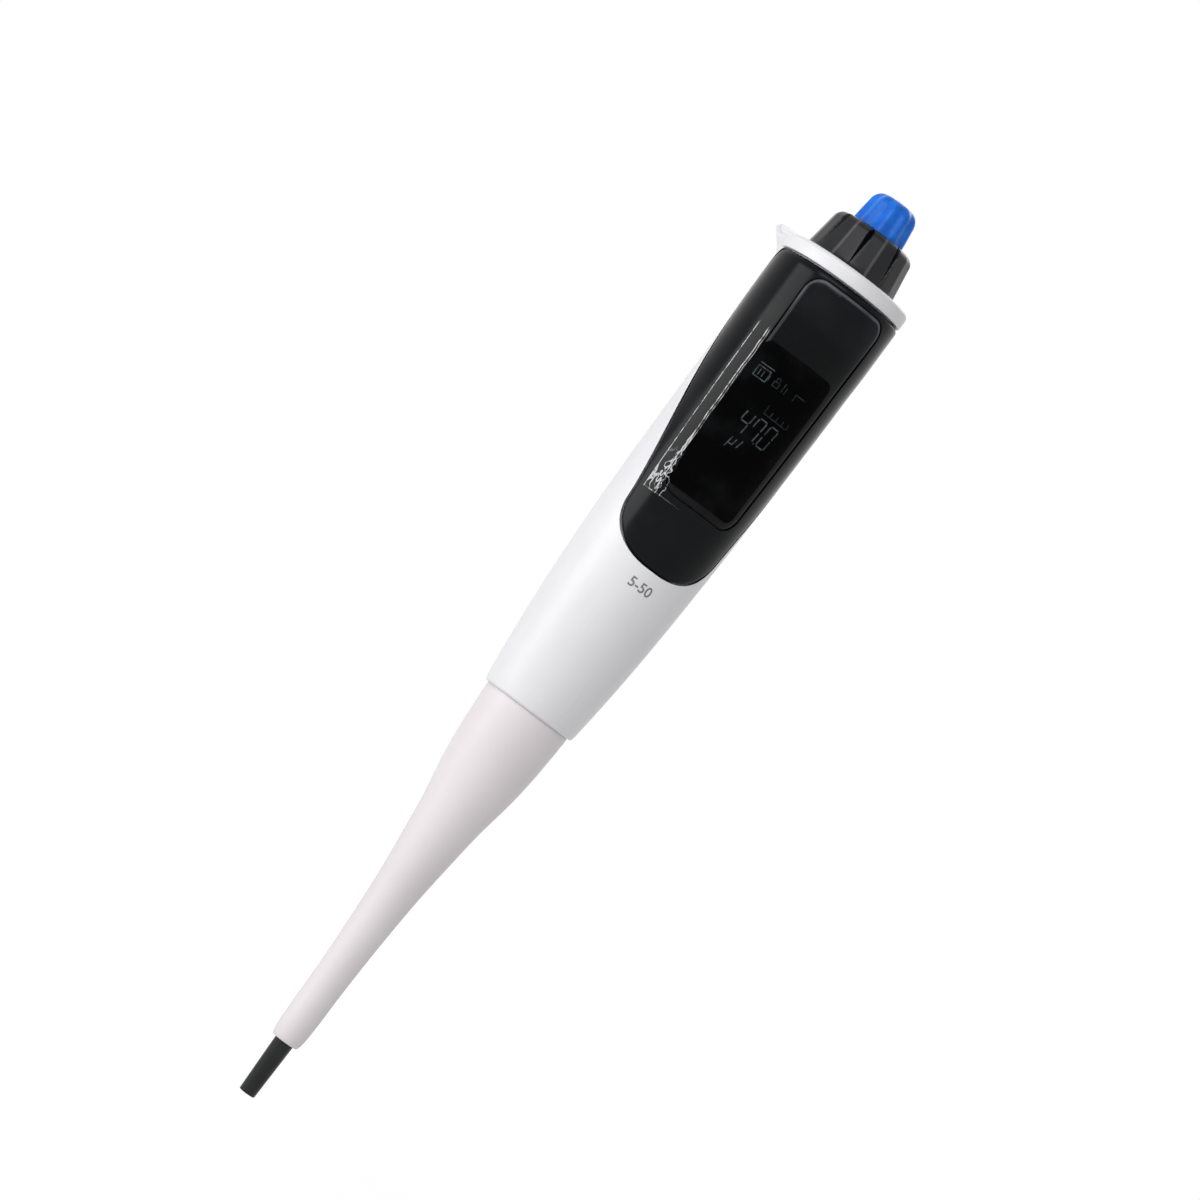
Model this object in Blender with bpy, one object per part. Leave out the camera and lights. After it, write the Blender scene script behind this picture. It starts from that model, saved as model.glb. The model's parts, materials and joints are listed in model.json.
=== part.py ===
"""Single-channel air-displacement pipette with an electronic display, 5 to 50 microlitres.

Everything is in metres. Heights run up the pipette's axis from the nozzle end. The display faces
-Y, the finger hook points to +Y and the operating button is at the top. The finished assembly is
lowered by HANG_HEIGHT, so that its origin lies on the axis level with the underside of the hook.
"""

import math

import bmesh
import bpy
from mathutils import Vector

# Fits between neighbouring pieces
GAP = 0.0003
RUNNING_GAP = 0.0004

# Volume setting and strokes
PISTON_RADIUS = 0.0020
SET_VOLUME = 47.0e-9
SMALLEST_VOLUME = 5.0e-9
LARGEST_VOLUME = 50.0e-9
BLOWOUT_STROKE = 0.0020
EJECT_STROKE = 0.0080

# Tip cone: the black core that carries the disposable tip
CONE_LENGTH = 0.1177
NOZZLE_END_RADIUS = 0.00205
NOZZLE_ROUND = 0.0004
NOZZLE_EXPOSED = 0.0147
NOZZLE_BASE_RADIUS = 0.00242
CONE_OUTLINE = (
    (0.034, 0.00315),
    (0.048, 0.0036),
    (0.060, 0.0042),
    (0.074, 0.0055),
)
CONE_NECK_HEIGHT = 0.096
CONE_NECK_RADIUS = 0.0076
CONE_FLANGE_RADIUS = 0.0082
CONE_FLANGE_THICKNESS = 0.0030
AIR_BORE_RADIUS = 0.0008
DEAD_LENGTH = 0.0018
SEAL_POCKET_RADIUS = 0.0046
SEAL_POCKET_DEPTH = 0.0110
CONE_BORE_RADIUS = 0.0063
CONE_BORE_DEPTH = 0.0207

# Seals round the piston
O_RING_SECTION = 0.0010
PISTON_SEAL_HEIGHT = 0.0030
RETAINER_FLANGE = 0.0020

# Ejector sleeve: the white cone over the tip cone, as heights above its lower end and radii
SLEEVE_WALL = 0.0009
SLEEVE_OUTLINE = (
    (0.0, 0.0032),
    (0.0010, 0.0037),
    (0.0035, 0.0040),
    (0.0075, 0.00415),
    (0.0170, 0.0043),
    (0.0300, 0.0048),
    (0.0443, 0.0057),
    (0.0583, 0.0072),
    (0.0660, 0.0082),
    (0.0740, 0.0096),
    (0.0823, 0.01055),
    (0.0927, 0.0112),
)
SLEEVE_NECK = 0.0124

# Handle: white back shell and black front cover share one outer form
HANDLE_SETBACK = 0.0089
HANDLE_LENGTH = 0.1203
HANDLE_WALL = 0.0018
GRIP_RADIUS = 0.01585
MOUTH_STEP = 0.00365
GRIP_RISE = 0.074
SHOULDER_STEP = 0.0002
SHOULDER_DROP = 0.0227
SHOULDER_RISE = 0.012
FRONT_SWELL = 0.0028
SWELL_DROP = 0.0890
SWELL_RISE = 0.0720
SWELL_BLEND = 0.6
LIP_ROUND = 0.0005

# Finger hook at the back of the handle
HANG_HEIGHT = 0.2260
HOOK_REACH = 0.0260
HOOK_HALF_WIDTH = 0.0150
HOOK_CORNER = 0.0060
HOOK_FLARE_DROP = 0.0097
HOOK_FLARE_SPAN = 0.0135
HOOK_BLEND = 0.0012
HOOK_LIFT = 0.0030
HOOK_LIFT_START = 0.0140

# Front cover and its window
COVER_HEIGHT = 0.0781
COVER_CORNER = 0.0110
COVER_CORNER_WIDTH = 0.0138
COVER_TOP_CORNER = 0.0075
COVER_FOOT_ANGLE = math.radians(56.0)
COVER_TOP_ANGLE = math.radians(100.0)
COVER_WIDENING = 0.0500
COVER_WIDENING_POWER = 1.5
COVER_TOP_ROUND = 0.0012
LENS_DROP = 0.0016
LENS_HEIGHT = 0.0600
LENS_HALF_WIDTH = 0.0121
LENS_TAPER = 0.0010
LENS_CORNER = 0.0045
LENS_THICKNESS = 0.0007
LENS_INSET = 0.0001

# Top plate and the dial that turns in it
PLATE_THICKNESS = 0.0038
PLATE_ROUND = 0.0012
HUB_RADIUS = 0.0082
DIAL_BASE_RADIUS = 0.0120
DIAL_TOP_RADIUS = 0.0107
DIAL_HEIGHT = 0.0108
DIAL_ROUND = 0.0022
DIAL_LOBES = 8
DIAL_GROOVE_DEPTH = 0.0016
DIAL_GROOVE_END = 0.35

# Operating button and its rod
BUTTON_RADIUS = 0.0071
BUTTON_TOP_RADIUS = 0.0030
BUTTON_RISE = 0.0090
BUTTON_DEPTH = 0.0022
BUTTON_NECK_RADIUS = 0.00636
BUTTON_CROWN = 0.0034
BUTTON_FLUTES = 10
BUTTON_GROOVE_DEPTH = 0.0006
ROD_RADIUS = 0.0016
ROD_CAP_THICKNESS = 0.0029
DRIVER_SETBACK = 0.0320
DRIVER_THICKNESS = 0.0040
PISTON_LENGTH = 0.0987
STOP_COLLAR_RADIUS = 0.0034
STOP_COLLAR_THICKNESS = 0.0025

# Bearing plate, dial sleeve and encoder disc
BEARING_DROP = 0.0067
BEARING_THICKNESS = 0.0030
SCREW_RADIUS = 0.0042
SCREW_LENGTH = 0.0340
KEY_REACH = 0.0011
KEY_HALF_WIDTH = 0.0008
KEY_HEIGHT = 0.0050
DIAL_SLEEVE_WALL = 0.0016
DIAL_SLEEVE_FLANGE = 0.0012
DIAL_SLEEVE_FLANGE_THICKNESS = 0.0024
RETAINER_RING_WIDTH = 0.0013
RETAINER_RING_THICKNESS = 0.0012
DISC_RADIUS = 0.0096
DISC_THICKNESS = 0.0008
DISC_DROP = 0.0038
DISC_SLOTS = 16
DISC_SLOT_LENGTH = 0.0012
DISC_SLOT_HALF_WIDTH = 0.0005
DISC_COLLAR_WIDTH = 0.0010
DISC_COLLAR_THICKNESS = 0.0012
DIAL_SLEEVE_FOOT = 0.0031

# Chassis tube, thread nut and coupling nut
CHASSIS_BORE = 0.0069
CHASSIS_WALL = 0.0013
CHASSIS_LEDGE = 0.0009
CHASSIS_LEDGE_THICKNESS = 0.0015
CHASSIS_FLANGE_THICKNESS = 0.0020
POST_CIRCLE = 0.0117
POST_RADIUS = 0.0015
POST_ANGLES = (75.0, 135.0, 225.0, 285.0)
NUT_FLANGE_THICKNESS = 0.0016
NUT_FLANGE_WIDTH = 0.0012
NUT_DEPTH = 0.0090
COUPLING_WALL = 0.0008
COUPLING_LIP = 0.0024
COUPLING_OVERLAP = 0.0060
COUPLING_RIBS = 12

# Springs and their seats
SEAT_THICKNESS = 0.0020
PISTON_SPRING_RADIUS = 0.0036
PISTON_SPRING_WIRE = 0.00035
PISTON_SPRING_TURNS = 8
BLOWOUT_SPRING_RADIUS = 0.0060
BLOWOUT_SPRING_WIRE = 0.00045
BLOWOUT_SPRING_TURNS = 4
BLOWOUT_PLATE_THICKNESS = 0.0015
BLOWOUT_PLATE_BORE = 0.0046
EJECTOR_SPRING_WIRE = 0.00035
EJECTOR_SPRING_TURNS = 7
EJECTOR_RING_THICKNESS = 0.0025

# Ejector bar and its thumb button behind the dial
BAR_HALF_WIDTH = 0.0024
BAR_THICKNESS = 0.0012
BAR_LOW_OFFSET = 0.0103
BAR_RING_OFFSET = 0.0109
BAR_HIGH_OFFSET = 0.0129
BAR_LOW_LENGTH = 0.0110
BAR_JOG_LENGTH = 0.0270
PAD_HALF_WIDTH = 0.0050
PAD_DEPTH = 0.0025
PAD_BASE_DROP = 0.0022
PAD_CAP_REACH = 0.0180
PAD_CAP_THICKNESS = 0.0025

# Display, board and coin cell
BOARD_HALF_WIDTH = 0.0080
BOARD_THICKNESS = 0.0010
BOARD_CLEARANCE = 0.0009
LCD_FRAME_HALF_WIDTH = 0.0084
LCD_FRAME_HEIGHT = 0.0373
LCD_FRAME_WALL = 0.0011
LCD_FRAME_DEPTH = 0.0016
LCD_THICKNESS = 0.0019
WINDOW_MARGIN = 0.0004
READER_HALF_WIDTH = 0.0030
READER_JAW = 0.0028
READER_SLOT_GAP = 0.0005
READER_BACK = 0.0015
READER_REACH = 0.0022
CELL_RADIUS = 0.00625
CELL_THICKNESS = 0.0016
CELL_RISE = 0.0076
CELL_DROP = 0.0111
CLIP_HALF_WIDTH = 0.0018
CLIP_THICKNESS = 0.0004

# Fasteners
SCREW_SHANK_RADIUS = 0.0008
SCREW_HEAD_RADIUS = 0.0013
SCREW_HEAD_HEIGHT = 0.0011
BEARING_SCREW_LENGTH = 0.0080
PLATE_SCREW_CIRCLE = 0.0101
PLATE_SCREW_ANGLES = (0.0, 105.0, 255.0)
BOSS_RADIUS = 0.0015

# Facets
ROUND_STEPS = 28
SMALL_STEPS = 16
TINY_STEPS = 10
SHELL_STEPS = 48
SHELL_LEVELS = 8
COVER_COLUMNS = 16
COIL_STEPS = 10
COIL_SIDES = 5

# Strokes worked out from the volumes
PISTON_AREA = math.pi * PISTON_RADIUS**2
DISPENSE_STROKE = SET_VOLUME / PISTON_AREA
FULL_PRESS = DISPENSE_STROKE + BLOWOUT_STROKE
STOP_LOWER = (SET_VOLUME - SMALLEST_VOLUME) / PISTON_AREA
STOP_RAISE = (LARGEST_VOLUME - SET_VOLUME) / PISTON_AREA
DEEPEST = FULL_PRESS + STOP_LOWER

# Heights of the lower end
HANDLE_BOTTOM = CONE_LENGTH - HANDLE_SETBACK
CHASSIS_BOTTOM = CONE_LENGTH + GAP
CONE_FLANGE_BOTTOM = CONE_LENGTH - CONE_FLANGE_THICKNESS
COUPLING_BOTTOM = CONE_FLANGE_BOTTOM - GAP - COUPLING_LIP
COUPLING_TOP = CHASSIS_BOTTOM + COUPLING_OVERLAP
SEAT_BOTTOM = CHASSIS_BOTTOM + CHASSIS_LEDGE_THICKNESS + GAP
SPRING_FOOT = SEAT_BOTTOM + SEAT_THICKNESS + GAP
DRIVER_TOP = CHASSIS_BOTTOM + DRIVER_SETBACK
DRIVER_BOTTOM = DRIVER_TOP - DRIVER_THICKNESS
PISTON_TOP = DRIVER_BOTTOM - GAP
PISTON_BOTTOM = PISTON_TOP - PISTON_LENGTH
CHAMBER_BOTTOM = PISTON_BOTTOM - DEEPEST - DEAD_LENGTH
CONE_SHOULDER = CONE_LENGTH - CONE_BORE_DEPTH
POCKET_BOTTOM = CONE_SHOULDER - SEAL_POCKET_DEPTH
BLOWOUT_PLATE_TOP = DRIVER_BOTTOM - DEEPEST - GAP
BLOWOUT_PLATE_BOTTOM = BLOWOUT_PLATE_TOP - BLOWOUT_PLATE_THICKNESS
SLEEVE_BOTTOM = NOZZLE_EXPOSED
SLEEVE_TOP = HANDLE_BOTTOM + SLEEVE_NECK
EJECTOR_SPRING_FOOT = COUPLING_TOP + GAP

# Heights of the upper end
HANDLE_TOP = HANDLE_BOTTOM + HANDLE_LENGTH
COVER_BOTTOM = HANDLE_TOP - COVER_HEIGHT
LENS_TOP = HANDLE_TOP - LENS_DROP
LENS_BOTTOM = LENS_TOP - LENS_HEIGHT
PLATE_BOTTOM = HANDLE_TOP + GAP
PLATE_TOP = PLATE_BOTTOM + PLATE_THICKNESS
DIAL_BASE = PLATE_TOP + RUNNING_GAP
DIAL_TOP = DIAL_BASE + DIAL_HEIGHT
BUTTON_BOTTOM = DIAL_TOP - BUTTON_DEPTH
BUTTON_TOP = DIAL_TOP + BUTTON_RISE
DIAL_BORE_FLOOR = BUTTON_BOTTOM - DEEPEST - RUNNING_GAP
ROD_TOP = BUTTON_TOP - ROD_CAP_THICKNESS
BEARING_TOP = HANDLE_TOP - BEARING_DROP
BEARING_BOTTOM = BEARING_TOP - BEARING_THICKNESS
DIAL_FLANGE_BOTTOM = BEARING_TOP + GAP
DIAL_FLANGE_TOP = DIAL_FLANGE_BOTTOM + DIAL_SLEEVE_FLANGE_THICKNESS
HUB_BOTTOM = DIAL_FLANGE_TOP + GAP
RETAINER_RING_TOP = BEARING_BOTTOM - GAP
RETAINER_RING_BOTTOM = RETAINER_RING_TOP - RETAINER_RING_THICKNESS
DISC_TOP = RETAINER_RING_BOTTOM - DISC_DROP
DISC_BOTTOM = DISC_TOP - DISC_THICKNESS
DISC_COLLAR_TOP = DISC_BOTTOM - GAP
DISC_COLLAR_BOTTOM = DISC_COLLAR_TOP - DISC_COLLAR_THICKNESS
DIAL_SLEEVE_BOTTOM = DISC_COLLAR_BOTTOM - DIAL_SLEEVE_FOOT
NUT_TOP = DIAL_SLEEVE_BOTTOM - RUNNING_GAP
NUT_FLANGE_BOTTOM = NUT_TOP - NUT_FLANGE_THICKNESS
CHASSIS_TOP = NUT_FLANGE_BOTTOM - GAP
NUT_BOTTOM = CHASSIS_TOP - NUT_DEPTH
SCREW_TOP = DIAL_FLANGE_BOTTOM - GAP
SCREW_BOTTOM = SCREW_TOP - SCREW_LENGTH
STOP_COLLAR_TOP = SCREW_BOTTOM - GAP
READER_BOTTOM = DISC_BOTTOM - READER_JAW
READER_TOP = DISC_TOP + READER_JAW
BOARD_TOP = READER_BOTTOM - GAP
LCD_FRAME_TOP = BOARD_TOP - RUNNING_GAP
LCD_FRAME_BOTTOM = LCD_FRAME_TOP - LCD_FRAME_HEIGHT
CELL_CENTRE = LCD_FRAME_BOTTOM - CELL_DROP
BOARD_BOTTOM = CELL_CENTRE - CELL_RISE
EJECTOR_RING_TOP = BOARD_BOTTOM - BOARD_CLEARANCE
EJECTOR_RING_BOTTOM = EJECTOR_RING_TOP - EJECTOR_RING_THICKNESS
PAD_BASE = PLATE_TOP - PAD_BASE_DROP

# Radii that follow from their neighbours
SLEEVE_NECK_RADIUS = SLEEVE_OUTLINE[-1][1]
MOUTH_BORE = SLEEVE_NECK_RADIUS + RUNNING_GAP
CHASSIS_RADIUS = CHASSIS_BORE + CHASSIS_WALL
COUPLING_BORE = CHASSIS_RADIUS + GAP
COUPLING_RADIUS = COUPLING_BORE + COUPLING_WALL
CHAMBER_RADIUS = PISTON_RADIUS + GAP
DIAL_SLEEVE_BORE = SCREW_RADIUS + RUNNING_GAP
DIAL_SLEEVE_RADIUS = DIAL_SLEEVE_BORE + DIAL_SLEEVE_WALL
BEARING_BORE = DIAL_SLEEVE_RADIUS + RUNNING_GAP
BUTTON_BORE = BUTTON_RADIUS + RUNNING_GAP
ROD_BORE = ROD_RADIUS + RUNNING_GAP
SCREW_HOLE_RADIUS = SCREW_SHANK_RADIUS + GAP
EJECTOR_SPRING_RADIUS = CHASSIS_RADIUS + GAP + EJECTOR_SPRING_WIRE + GAP / 2
EJECTOR_RING_BORE = CHASSIS_RADIUS + GAP
BOARD_BACK = -(CHASSIS_RADIUS + GAP)
BOARD_FRONT = BOARD_BACK - BOARD_THICKNESS
LCD_FRAME_BACK = BOARD_FRONT - GAP
LCD_FRAME_FRONT = LCD_FRAME_BACK - LCD_FRAME_DEPTH
PAD_INNER_RADIUS = DIAL_BASE_RADIUS + RUNNING_GAP + GAP
PAD_OUTER_RADIUS = PAD_INNER_RADIUS + PAD_DEPTH


def clear_scene():
    for thing in list(bpy.data.objects):
        bpy.data.objects.remove(thing, do_unlink=True)


def finish(name, colour, roughness, metallic=0.0):
    material = bpy.data.materials.new(name)
    material.use_nodes = True
    shader = material.node_tree.nodes["Principled BSDF"]
    shader.inputs["Base Color"].default_value = (*colour, 1.0)
    shader.inputs["Roughness"].default_value = roughness
    shader.inputs["Metallic"].default_value = metallic
    return material


def axis_empty(name, parent=None):
    empty = bpy.data.objects.new(name, None)
    bpy.context.collection.objects.link(empty)
    empty.parent = parent
    return empty


def add_object(name, mesh, material, parent):
    piece = bpy.data.objects.new(name, mesh)
    bpy.context.collection.objects.link(piece)
    if material:
        mesh.materials.append(material)
    piece.parent = parent
    return piece


def mesh_from(name, form, sharp_angle=30.0):
    """A mesh of the bmesh, its faces turned outwards and shaded smooth up to the sharp angle."""
    bmesh.ops.recalc_face_normals(form, faces=form.faces[:])
    mesh = bpy.data.meshes.new(name)
    form.to_mesh(mesh)
    form.free()
    mesh.shade_smooth()
    mesh.set_sharp_from_angle(angle=math.radians(sharp_angle))
    return mesh


def turned(name, outer, inner, material, parent, steps=ROUND_STEPS):
    """A body of revolution: outlines of (radius, height) points, each from the bottom up."""
    outline = list(reversed(outer))
    if inner:
        outline += list(inner)
    else:
        outline = [(0.0, outer[-1][1]), *outline, (0.0, outer[0][1])]
    mesh = bpy.data.meshes.new(name)
    points = [(radius, 0.0, height) for radius, height in outline]
    edges = [(i, i + 1) for i in range(len(points) - 1)]
    if inner:
        edges.append((len(points) - 1, 0))
    mesh.from_pydata(points, edges, [])
    piece = add_object(name, mesh, material, parent)
    screw = piece.modifiers.new("turn", "SCREW")
    screw.steps = steps
    screw.render_steps = steps
    screw.use_merge_vertices = True
    screw.merge_threshold = 0.000001
    screw.use_smooth_shade = True
    return piece


def ring_points(radius_at, height, angles):
    """One closed section: radius_at gives the radius for each angle, 0 facing -Y."""
    return [
        Vector((radius_at(angle) * math.sin(angle), -radius_at(angle) * math.cos(angle), height))
        for angle in angles
    ]


def even_angles(count):
    return [2.0 * math.pi * i / count for i in range(count)]


def lofted(name, sections, material, parent, closed=False):
    """A skin over sections with equal numbers of points; a closed one returns to its first."""
    form = bmesh.new()
    rows = [[form.verts.new(point) for point in section] for section in sections]
    count = len(rows[0])
    pairs = list(zip(rows, rows[1:]))
    if closed:
        pairs.append((rows[-1], rows[0]))
    for low, high in pairs:
        for i in range(count):
            j = (i + 1) % count
            form.faces.new((low[i], low[j], high[j], high[i]))
    if not closed:
        form.faces.new(rows[0])
        form.faces.new(rows[-1])
    return add_object(name, mesh_from(name, form), material, parent)


def block(name, low, high, material, parent, bevel=0.0):
    """A box between two corners, its edges rounded by a Bevel modifier when bevel is set."""
    form = bmesh.new()
    bmesh.ops.create_cube(form, size=1.0)
    for vert in form.verts:
        vert.co = Vector(
            [
                low[axis] if vert.co[axis] < 0.0 else high[axis]
                for axis in range(3)
            ]
        )
    piece = add_object(name, mesh_from(name, form), material, parent)
    if bevel:
        rounding = piece.modifiers.new("round", "BEVEL")
        rounding.width = bevel
        rounding.segments = 2
    return piece


def guide(piece):
    """Marks a cutter or a tool body, which is no piece of the pipette."""
    piece.hide_render = True
    piece.display_type = "WIRE"
    return piece


def combine(piece, operation, tools):
    """One exact Boolean of the piece with all of the tool bodies at once."""
    group = bpy.data.collections.new(f"{piece.name} {operation.lower()}")
    for tool in tools:
        group.objects.link(guide(tool))
    boolean = piece.modifiers.new(operation.lower(), "BOOLEAN")
    boolean.operation = operation
    boolean.solver = "EXACT"
    boolean.operand_type = "COLLECTION"
    boolean.collection = group


def subtract(piece, *cutters):
    combine(piece, "DIFFERENCE", cutters)


def unite(piece, *bodies):
    combine(piece, "UNION", bodies)


def pin(name, outline, centre, parent, steps=TINY_STEPS):
    """A tool body for a boss or a hole: a turned outline standing on the (x, y) point."""
    body = turned(name, outline, None, None, parent, steps)
    body.location.x, body.location.y = centre
    return body


def around(radius, degrees):
    """The (x, y) point at a radius, with the angle counted from -Y towards +X."""
    angle = math.radians(degrees)
    return radius * math.sin(angle), -radius * math.cos(angle)


def clamp(value):
    return min(max(value, 0.0), 1.0)


def ease(value):
    value = clamp(value)
    return value * value * (3.0 - 2.0 * value)


def smooth_max(first, second, blend):
    """The larger of two values, with the change from one to the other rounded over blend."""
    part = max(blend - abs(first - second), 0.0) / blend
    return max(first, second) + part * part * blend / 4.0


def round_off(distance, radius):
    """How far a rounded edge has drawn back, at a distance from the end it rounds."""
    left = radius - min(max(distance, 0.0), radius)
    return radius - math.sqrt(radius**2 - left**2)


def levels(bottom, top, count):
    return [bottom + (top - bottom) * i / count for i in range(count + 1)]


# The handle's outer form


def handle_radius(height):
    """Radius of the round grip: it swells above the mouth and steps out at the shoulder."""
    rise = clamp((height - HANDLE_BOTTOM) / GRIP_RISE)
    shoulder = ease((height - HANDLE_TOP + SHOULDER_DROP) / SHOULDER_RISE)
    return GRIP_RADIUS - MOUTH_STEP * (1.0 - rise) ** 2.5 + SHOULDER_STEP * shoulder


def grip_radius(angle, height):
    """The round grip with its front swelling forwards round the display."""
    rise = ease((height - HANDLE_TOP + SWELL_DROP) / SWELL_RISE)
    front = smooth_max(math.cos(angle), 0.0, SWELL_BLEND)
    return handle_radius(height) + FRONT_SWELL * rise * front


def hook_outline(angle):
    """Distance from the axis to the edge of the hook's rounded tongue."""
    back = abs(math.pi - angle)
    corner_x = HOOK_HALF_WIDTH - HOOK_CORNER
    corner_y = HOOK_REACH - HOOK_CORNER
    side = HOOK_HALF_WIDTH / max(math.sin(back), 0.01)
    end = HOOK_REACH / max(math.cos(back), 0.01)
    along = corner_x * math.sin(back) + corner_y * math.cos(back)
    across = corner_x * math.cos(back) - corner_y * math.sin(back)
    if back > math.pi / 2.0:
        return HOOK_HALF_WIDTH
    if end * math.sin(back) < corner_x:
        return end
    if side * math.cos(back) < corner_y:
        return side
    return along + math.sqrt(max(HOOK_CORNER**2 - across**2, 0.0))


def skin_radius(angle, height):
    """Outer surface of the handle, with the hook flaring out of its back near the top."""
    grip = grip_radius(angle, height)
    start = HANDLE_TOP - HOOK_FLARE_DROP
    flare = clamp((height - start) / HOOK_FLARE_SPAN) ** 1.8
    tongue = smooth_max(grip, hook_outline(angle), HOOK_BLEND)
    return grip + flare * (tongue - grip)


def inner_radius(angle, height):
    """Inner surface of the handle, never tighter than its mouth round the ejector sleeve."""
    return max(skin_radius(angle, height) - HANDLE_WALL, MOUTH_BORE)


def hook_lift(y):
    """How far the top of the hook's tongue has risen above the plate."""
    return HOOK_LIFT * ease((y - HOOK_LIFT_START) / (HOOK_REACH - HOOK_LIFT_START))


def pad_top():
    """Top of the ejector's thumb pad, which clears the hook at the end of its stroke."""
    hook_top = PLATE_TOP + hook_lift(PAD_CAP_REACH)
    return hook_top + EJECT_STROKE + RUNNING_GAP + PAD_CAP_THICKNESS


def cover_half_angle(height):
    """How far the front cover wraps round the grip: a tongue that widens upwards."""
    rise = clamp((height - COVER_BOTTOM - COVER_CORNER) / COVER_WIDENING)
    wrap = COVER_FOOT_ANGLE + (COVER_TOP_ANGLE - COVER_FOOT_ANGLE) * rise**COVER_WIDENING_POWER
    foot = round_off(height - COVER_BOTTOM, COVER_CORNER) / COVER_CORNER * COVER_CORNER_WIDTH
    shoulder = round_off(HANDLE_TOP - height, COVER_TOP_CORNER)
    return wrap - (foot + shoulder) / handle_radius(height)


def lens_half_angle(height):
    """Half the lens: sides that close in downwards and rounded corners, on the curved cover."""
    end = min(height - LENS_BOTTOM, LENS_TOP - height)
    side = LENS_HALF_WIDTH - LENS_TAPER * (LENS_TOP - height) / LENS_HEIGHT
    return (side - round_off(end, LENS_CORNER)) / grip_radius(0.0, height)


def curved_patch(name, heights, half_angle, outer, inner, material, parent, columns):
    """A curved plate on the front of the handle, between an outer and an inner radius."""
    form = bmesh.new()
    skins = []
    for radius_at in (outer, inner):
        rows = []
        for height in heights:
            row = []
            for i in range(columns + 1):
                angle = half_angle(height) * (2.0 * i / columns - 1.0)
                radius = radius_at(angle, height)
                point = (radius * math.sin(angle), -radius * math.cos(angle), height)
                row.append(form.verts.new(point))
            rows.append(row)
        skins.append(rows)
        for low, high in zip(rows, rows[1:]):
            for i in range(columns):
                form.faces.new((low[i], low[i + 1], high[i + 1], high[i]))
    front, back = skins
    for i in range(columns):
        for end in (0, -1):
            form.faces.new((front[end][i], front[end][i + 1], back[end][i + 1], back[end][i]))
    for i in range(len(heights) - 1):
        for side in (0, -1):
            form.faces.new(
                (front[i][side], front[i + 1][side], back[i + 1][side], back[i][side])
            )
    return add_object(name, mesh_from(name, form), material, parent)


def corner_levels(bottom, top, corner, count):
    """Heights that follow a rounded corner at each end and are even between them."""
    bend = [corner * (1.0 - math.cos(math.radians(a))) for a in (0.0, 22.0, 45.0, 67.0)]
    low = [bottom + step for step in bend]
    high = [top - step for step in reversed(bend)]
    return low + levels(bottom + corner, top - corner, count) + high


def cover_heights(drop=0.0):
    """Heights that follow the cover's round corners and are even between them."""
    low = [COVER_CORNER * (1.0 - math.cos(math.radians(a))) for a in (0, 12, 24, 38, 54, 72)]
    high = [COVER_TOP_CORNER * (1.0 - math.cos(math.radians(a))) for a in (70, 50, 40)]
    foot = [COVER_BOTTOM - drop + step for step in low]
    head = [HANDLE_TOP - step for step in high]
    edge = [HANDLE_TOP - share * COVER_TOP_ROUND for share in (0.6, 0.25, 0.08, 0.0)]
    middle = levels(COVER_BOTTOM + COVER_CORNER, HANDLE_TOP - COVER_TOP_CORNER, SHELL_LEVELS)
    return foot + middle + head + edge


def make_back_shell(parent, plastic):
    angles = even_angles(SHELL_STEPS)
    start = HANDLE_TOP - HOOK_FLARE_DROP
    outer_heights = [HANDLE_BOTTOM, HANDLE_BOTTOM + 0.3 * LIP_ROUND]
    outer_heights += levels(HANDLE_BOTTOM + LIP_ROUND, start, SHELL_LEVELS)
    outer_heights += levels(start, HANDLE_TOP, 5)[1:]
    sections = []
    for height in outer_heights:
        drawn = round_off(height - HANDLE_BOTTOM, LIP_ROUND)
        sections.append(
            ring_points(lambda a: skin_radius(a, height) - drawn, height, angles)
        )
    inner_heights = levels(HANDLE_BOTTOM, start, 6) + levels(start, HANDLE_TOP, 4)[1:]
    for height in reversed(inner_heights):
        sections.append(ring_points(lambda a: inner_radius(a, height), height, angles))
    shell = lofted("back_shell", sections, plastic, parent, closed=True)

    def opening_half_angle(height):
        wider = max(cover_half_angle(height + GAP), cover_half_angle(height - GAP))
        return wider + GAP / handle_radius(height)

    opening = curved_patch(
        "cover_opening",
        [*cover_heights(GAP), HANDLE_TOP + GAP],
        opening_half_angle,
        lambda a, h: grip_radius(a, h) + HANDLE_WALL,
        lambda a, h: grip_radius(a, h) - 2.0 * HANDLE_WALL,
        None,
        parent,
        COVER_COLUMNS,
    )
    subtract(shell, opening)


def make_front_cover(parent, plastic):
    cover = curved_patch(
        "front_cover",
        cover_heights(),
        cover_half_angle,
        lambda a, h: grip_radius(a, h) - round_off(HANDLE_TOP - h, COVER_TOP_ROUND),
        lambda a, h: grip_radius(a, h) - HANDLE_WALL,
        plastic,
        parent,
        COVER_COLUMNS,
    )
    recess_floor = LENS_INSET + LENS_THICKNESS + GAP
    recess = curved_patch(
        "lens_recess",
        [
            LENS_BOTTOM - GAP,
            *corner_levels(LENS_BOTTOM, LENS_TOP, LENS_CORNER, 4)[1:-1],
            LENS_TOP + GAP,
        ],
        lambda h: lens_half_angle(h) + GAP / handle_radius(h),
        lambda a, h: grip_radius(a, h) + HANDLE_WALL,
        lambda a, h: grip_radius(a, h) - recess_floor,
        None,
        parent,
        COVER_COLUMNS // 2,
    )
    subtract(cover, recess)
    half = LCD_FRAME_HALF_WIDTH + WINDOW_MARGIN
    window = block(
        "display_window",
        (-half, -grip_radius(0.0, HANDLE_TOP) - GAP, LCD_FRAME_BOTTOM - WINDOW_MARGIN),
        (half, 0.0, LCD_FRAME_TOP + WINDOW_MARGIN),
        None,
        parent,
    )
    subtract(cover, window)


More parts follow.
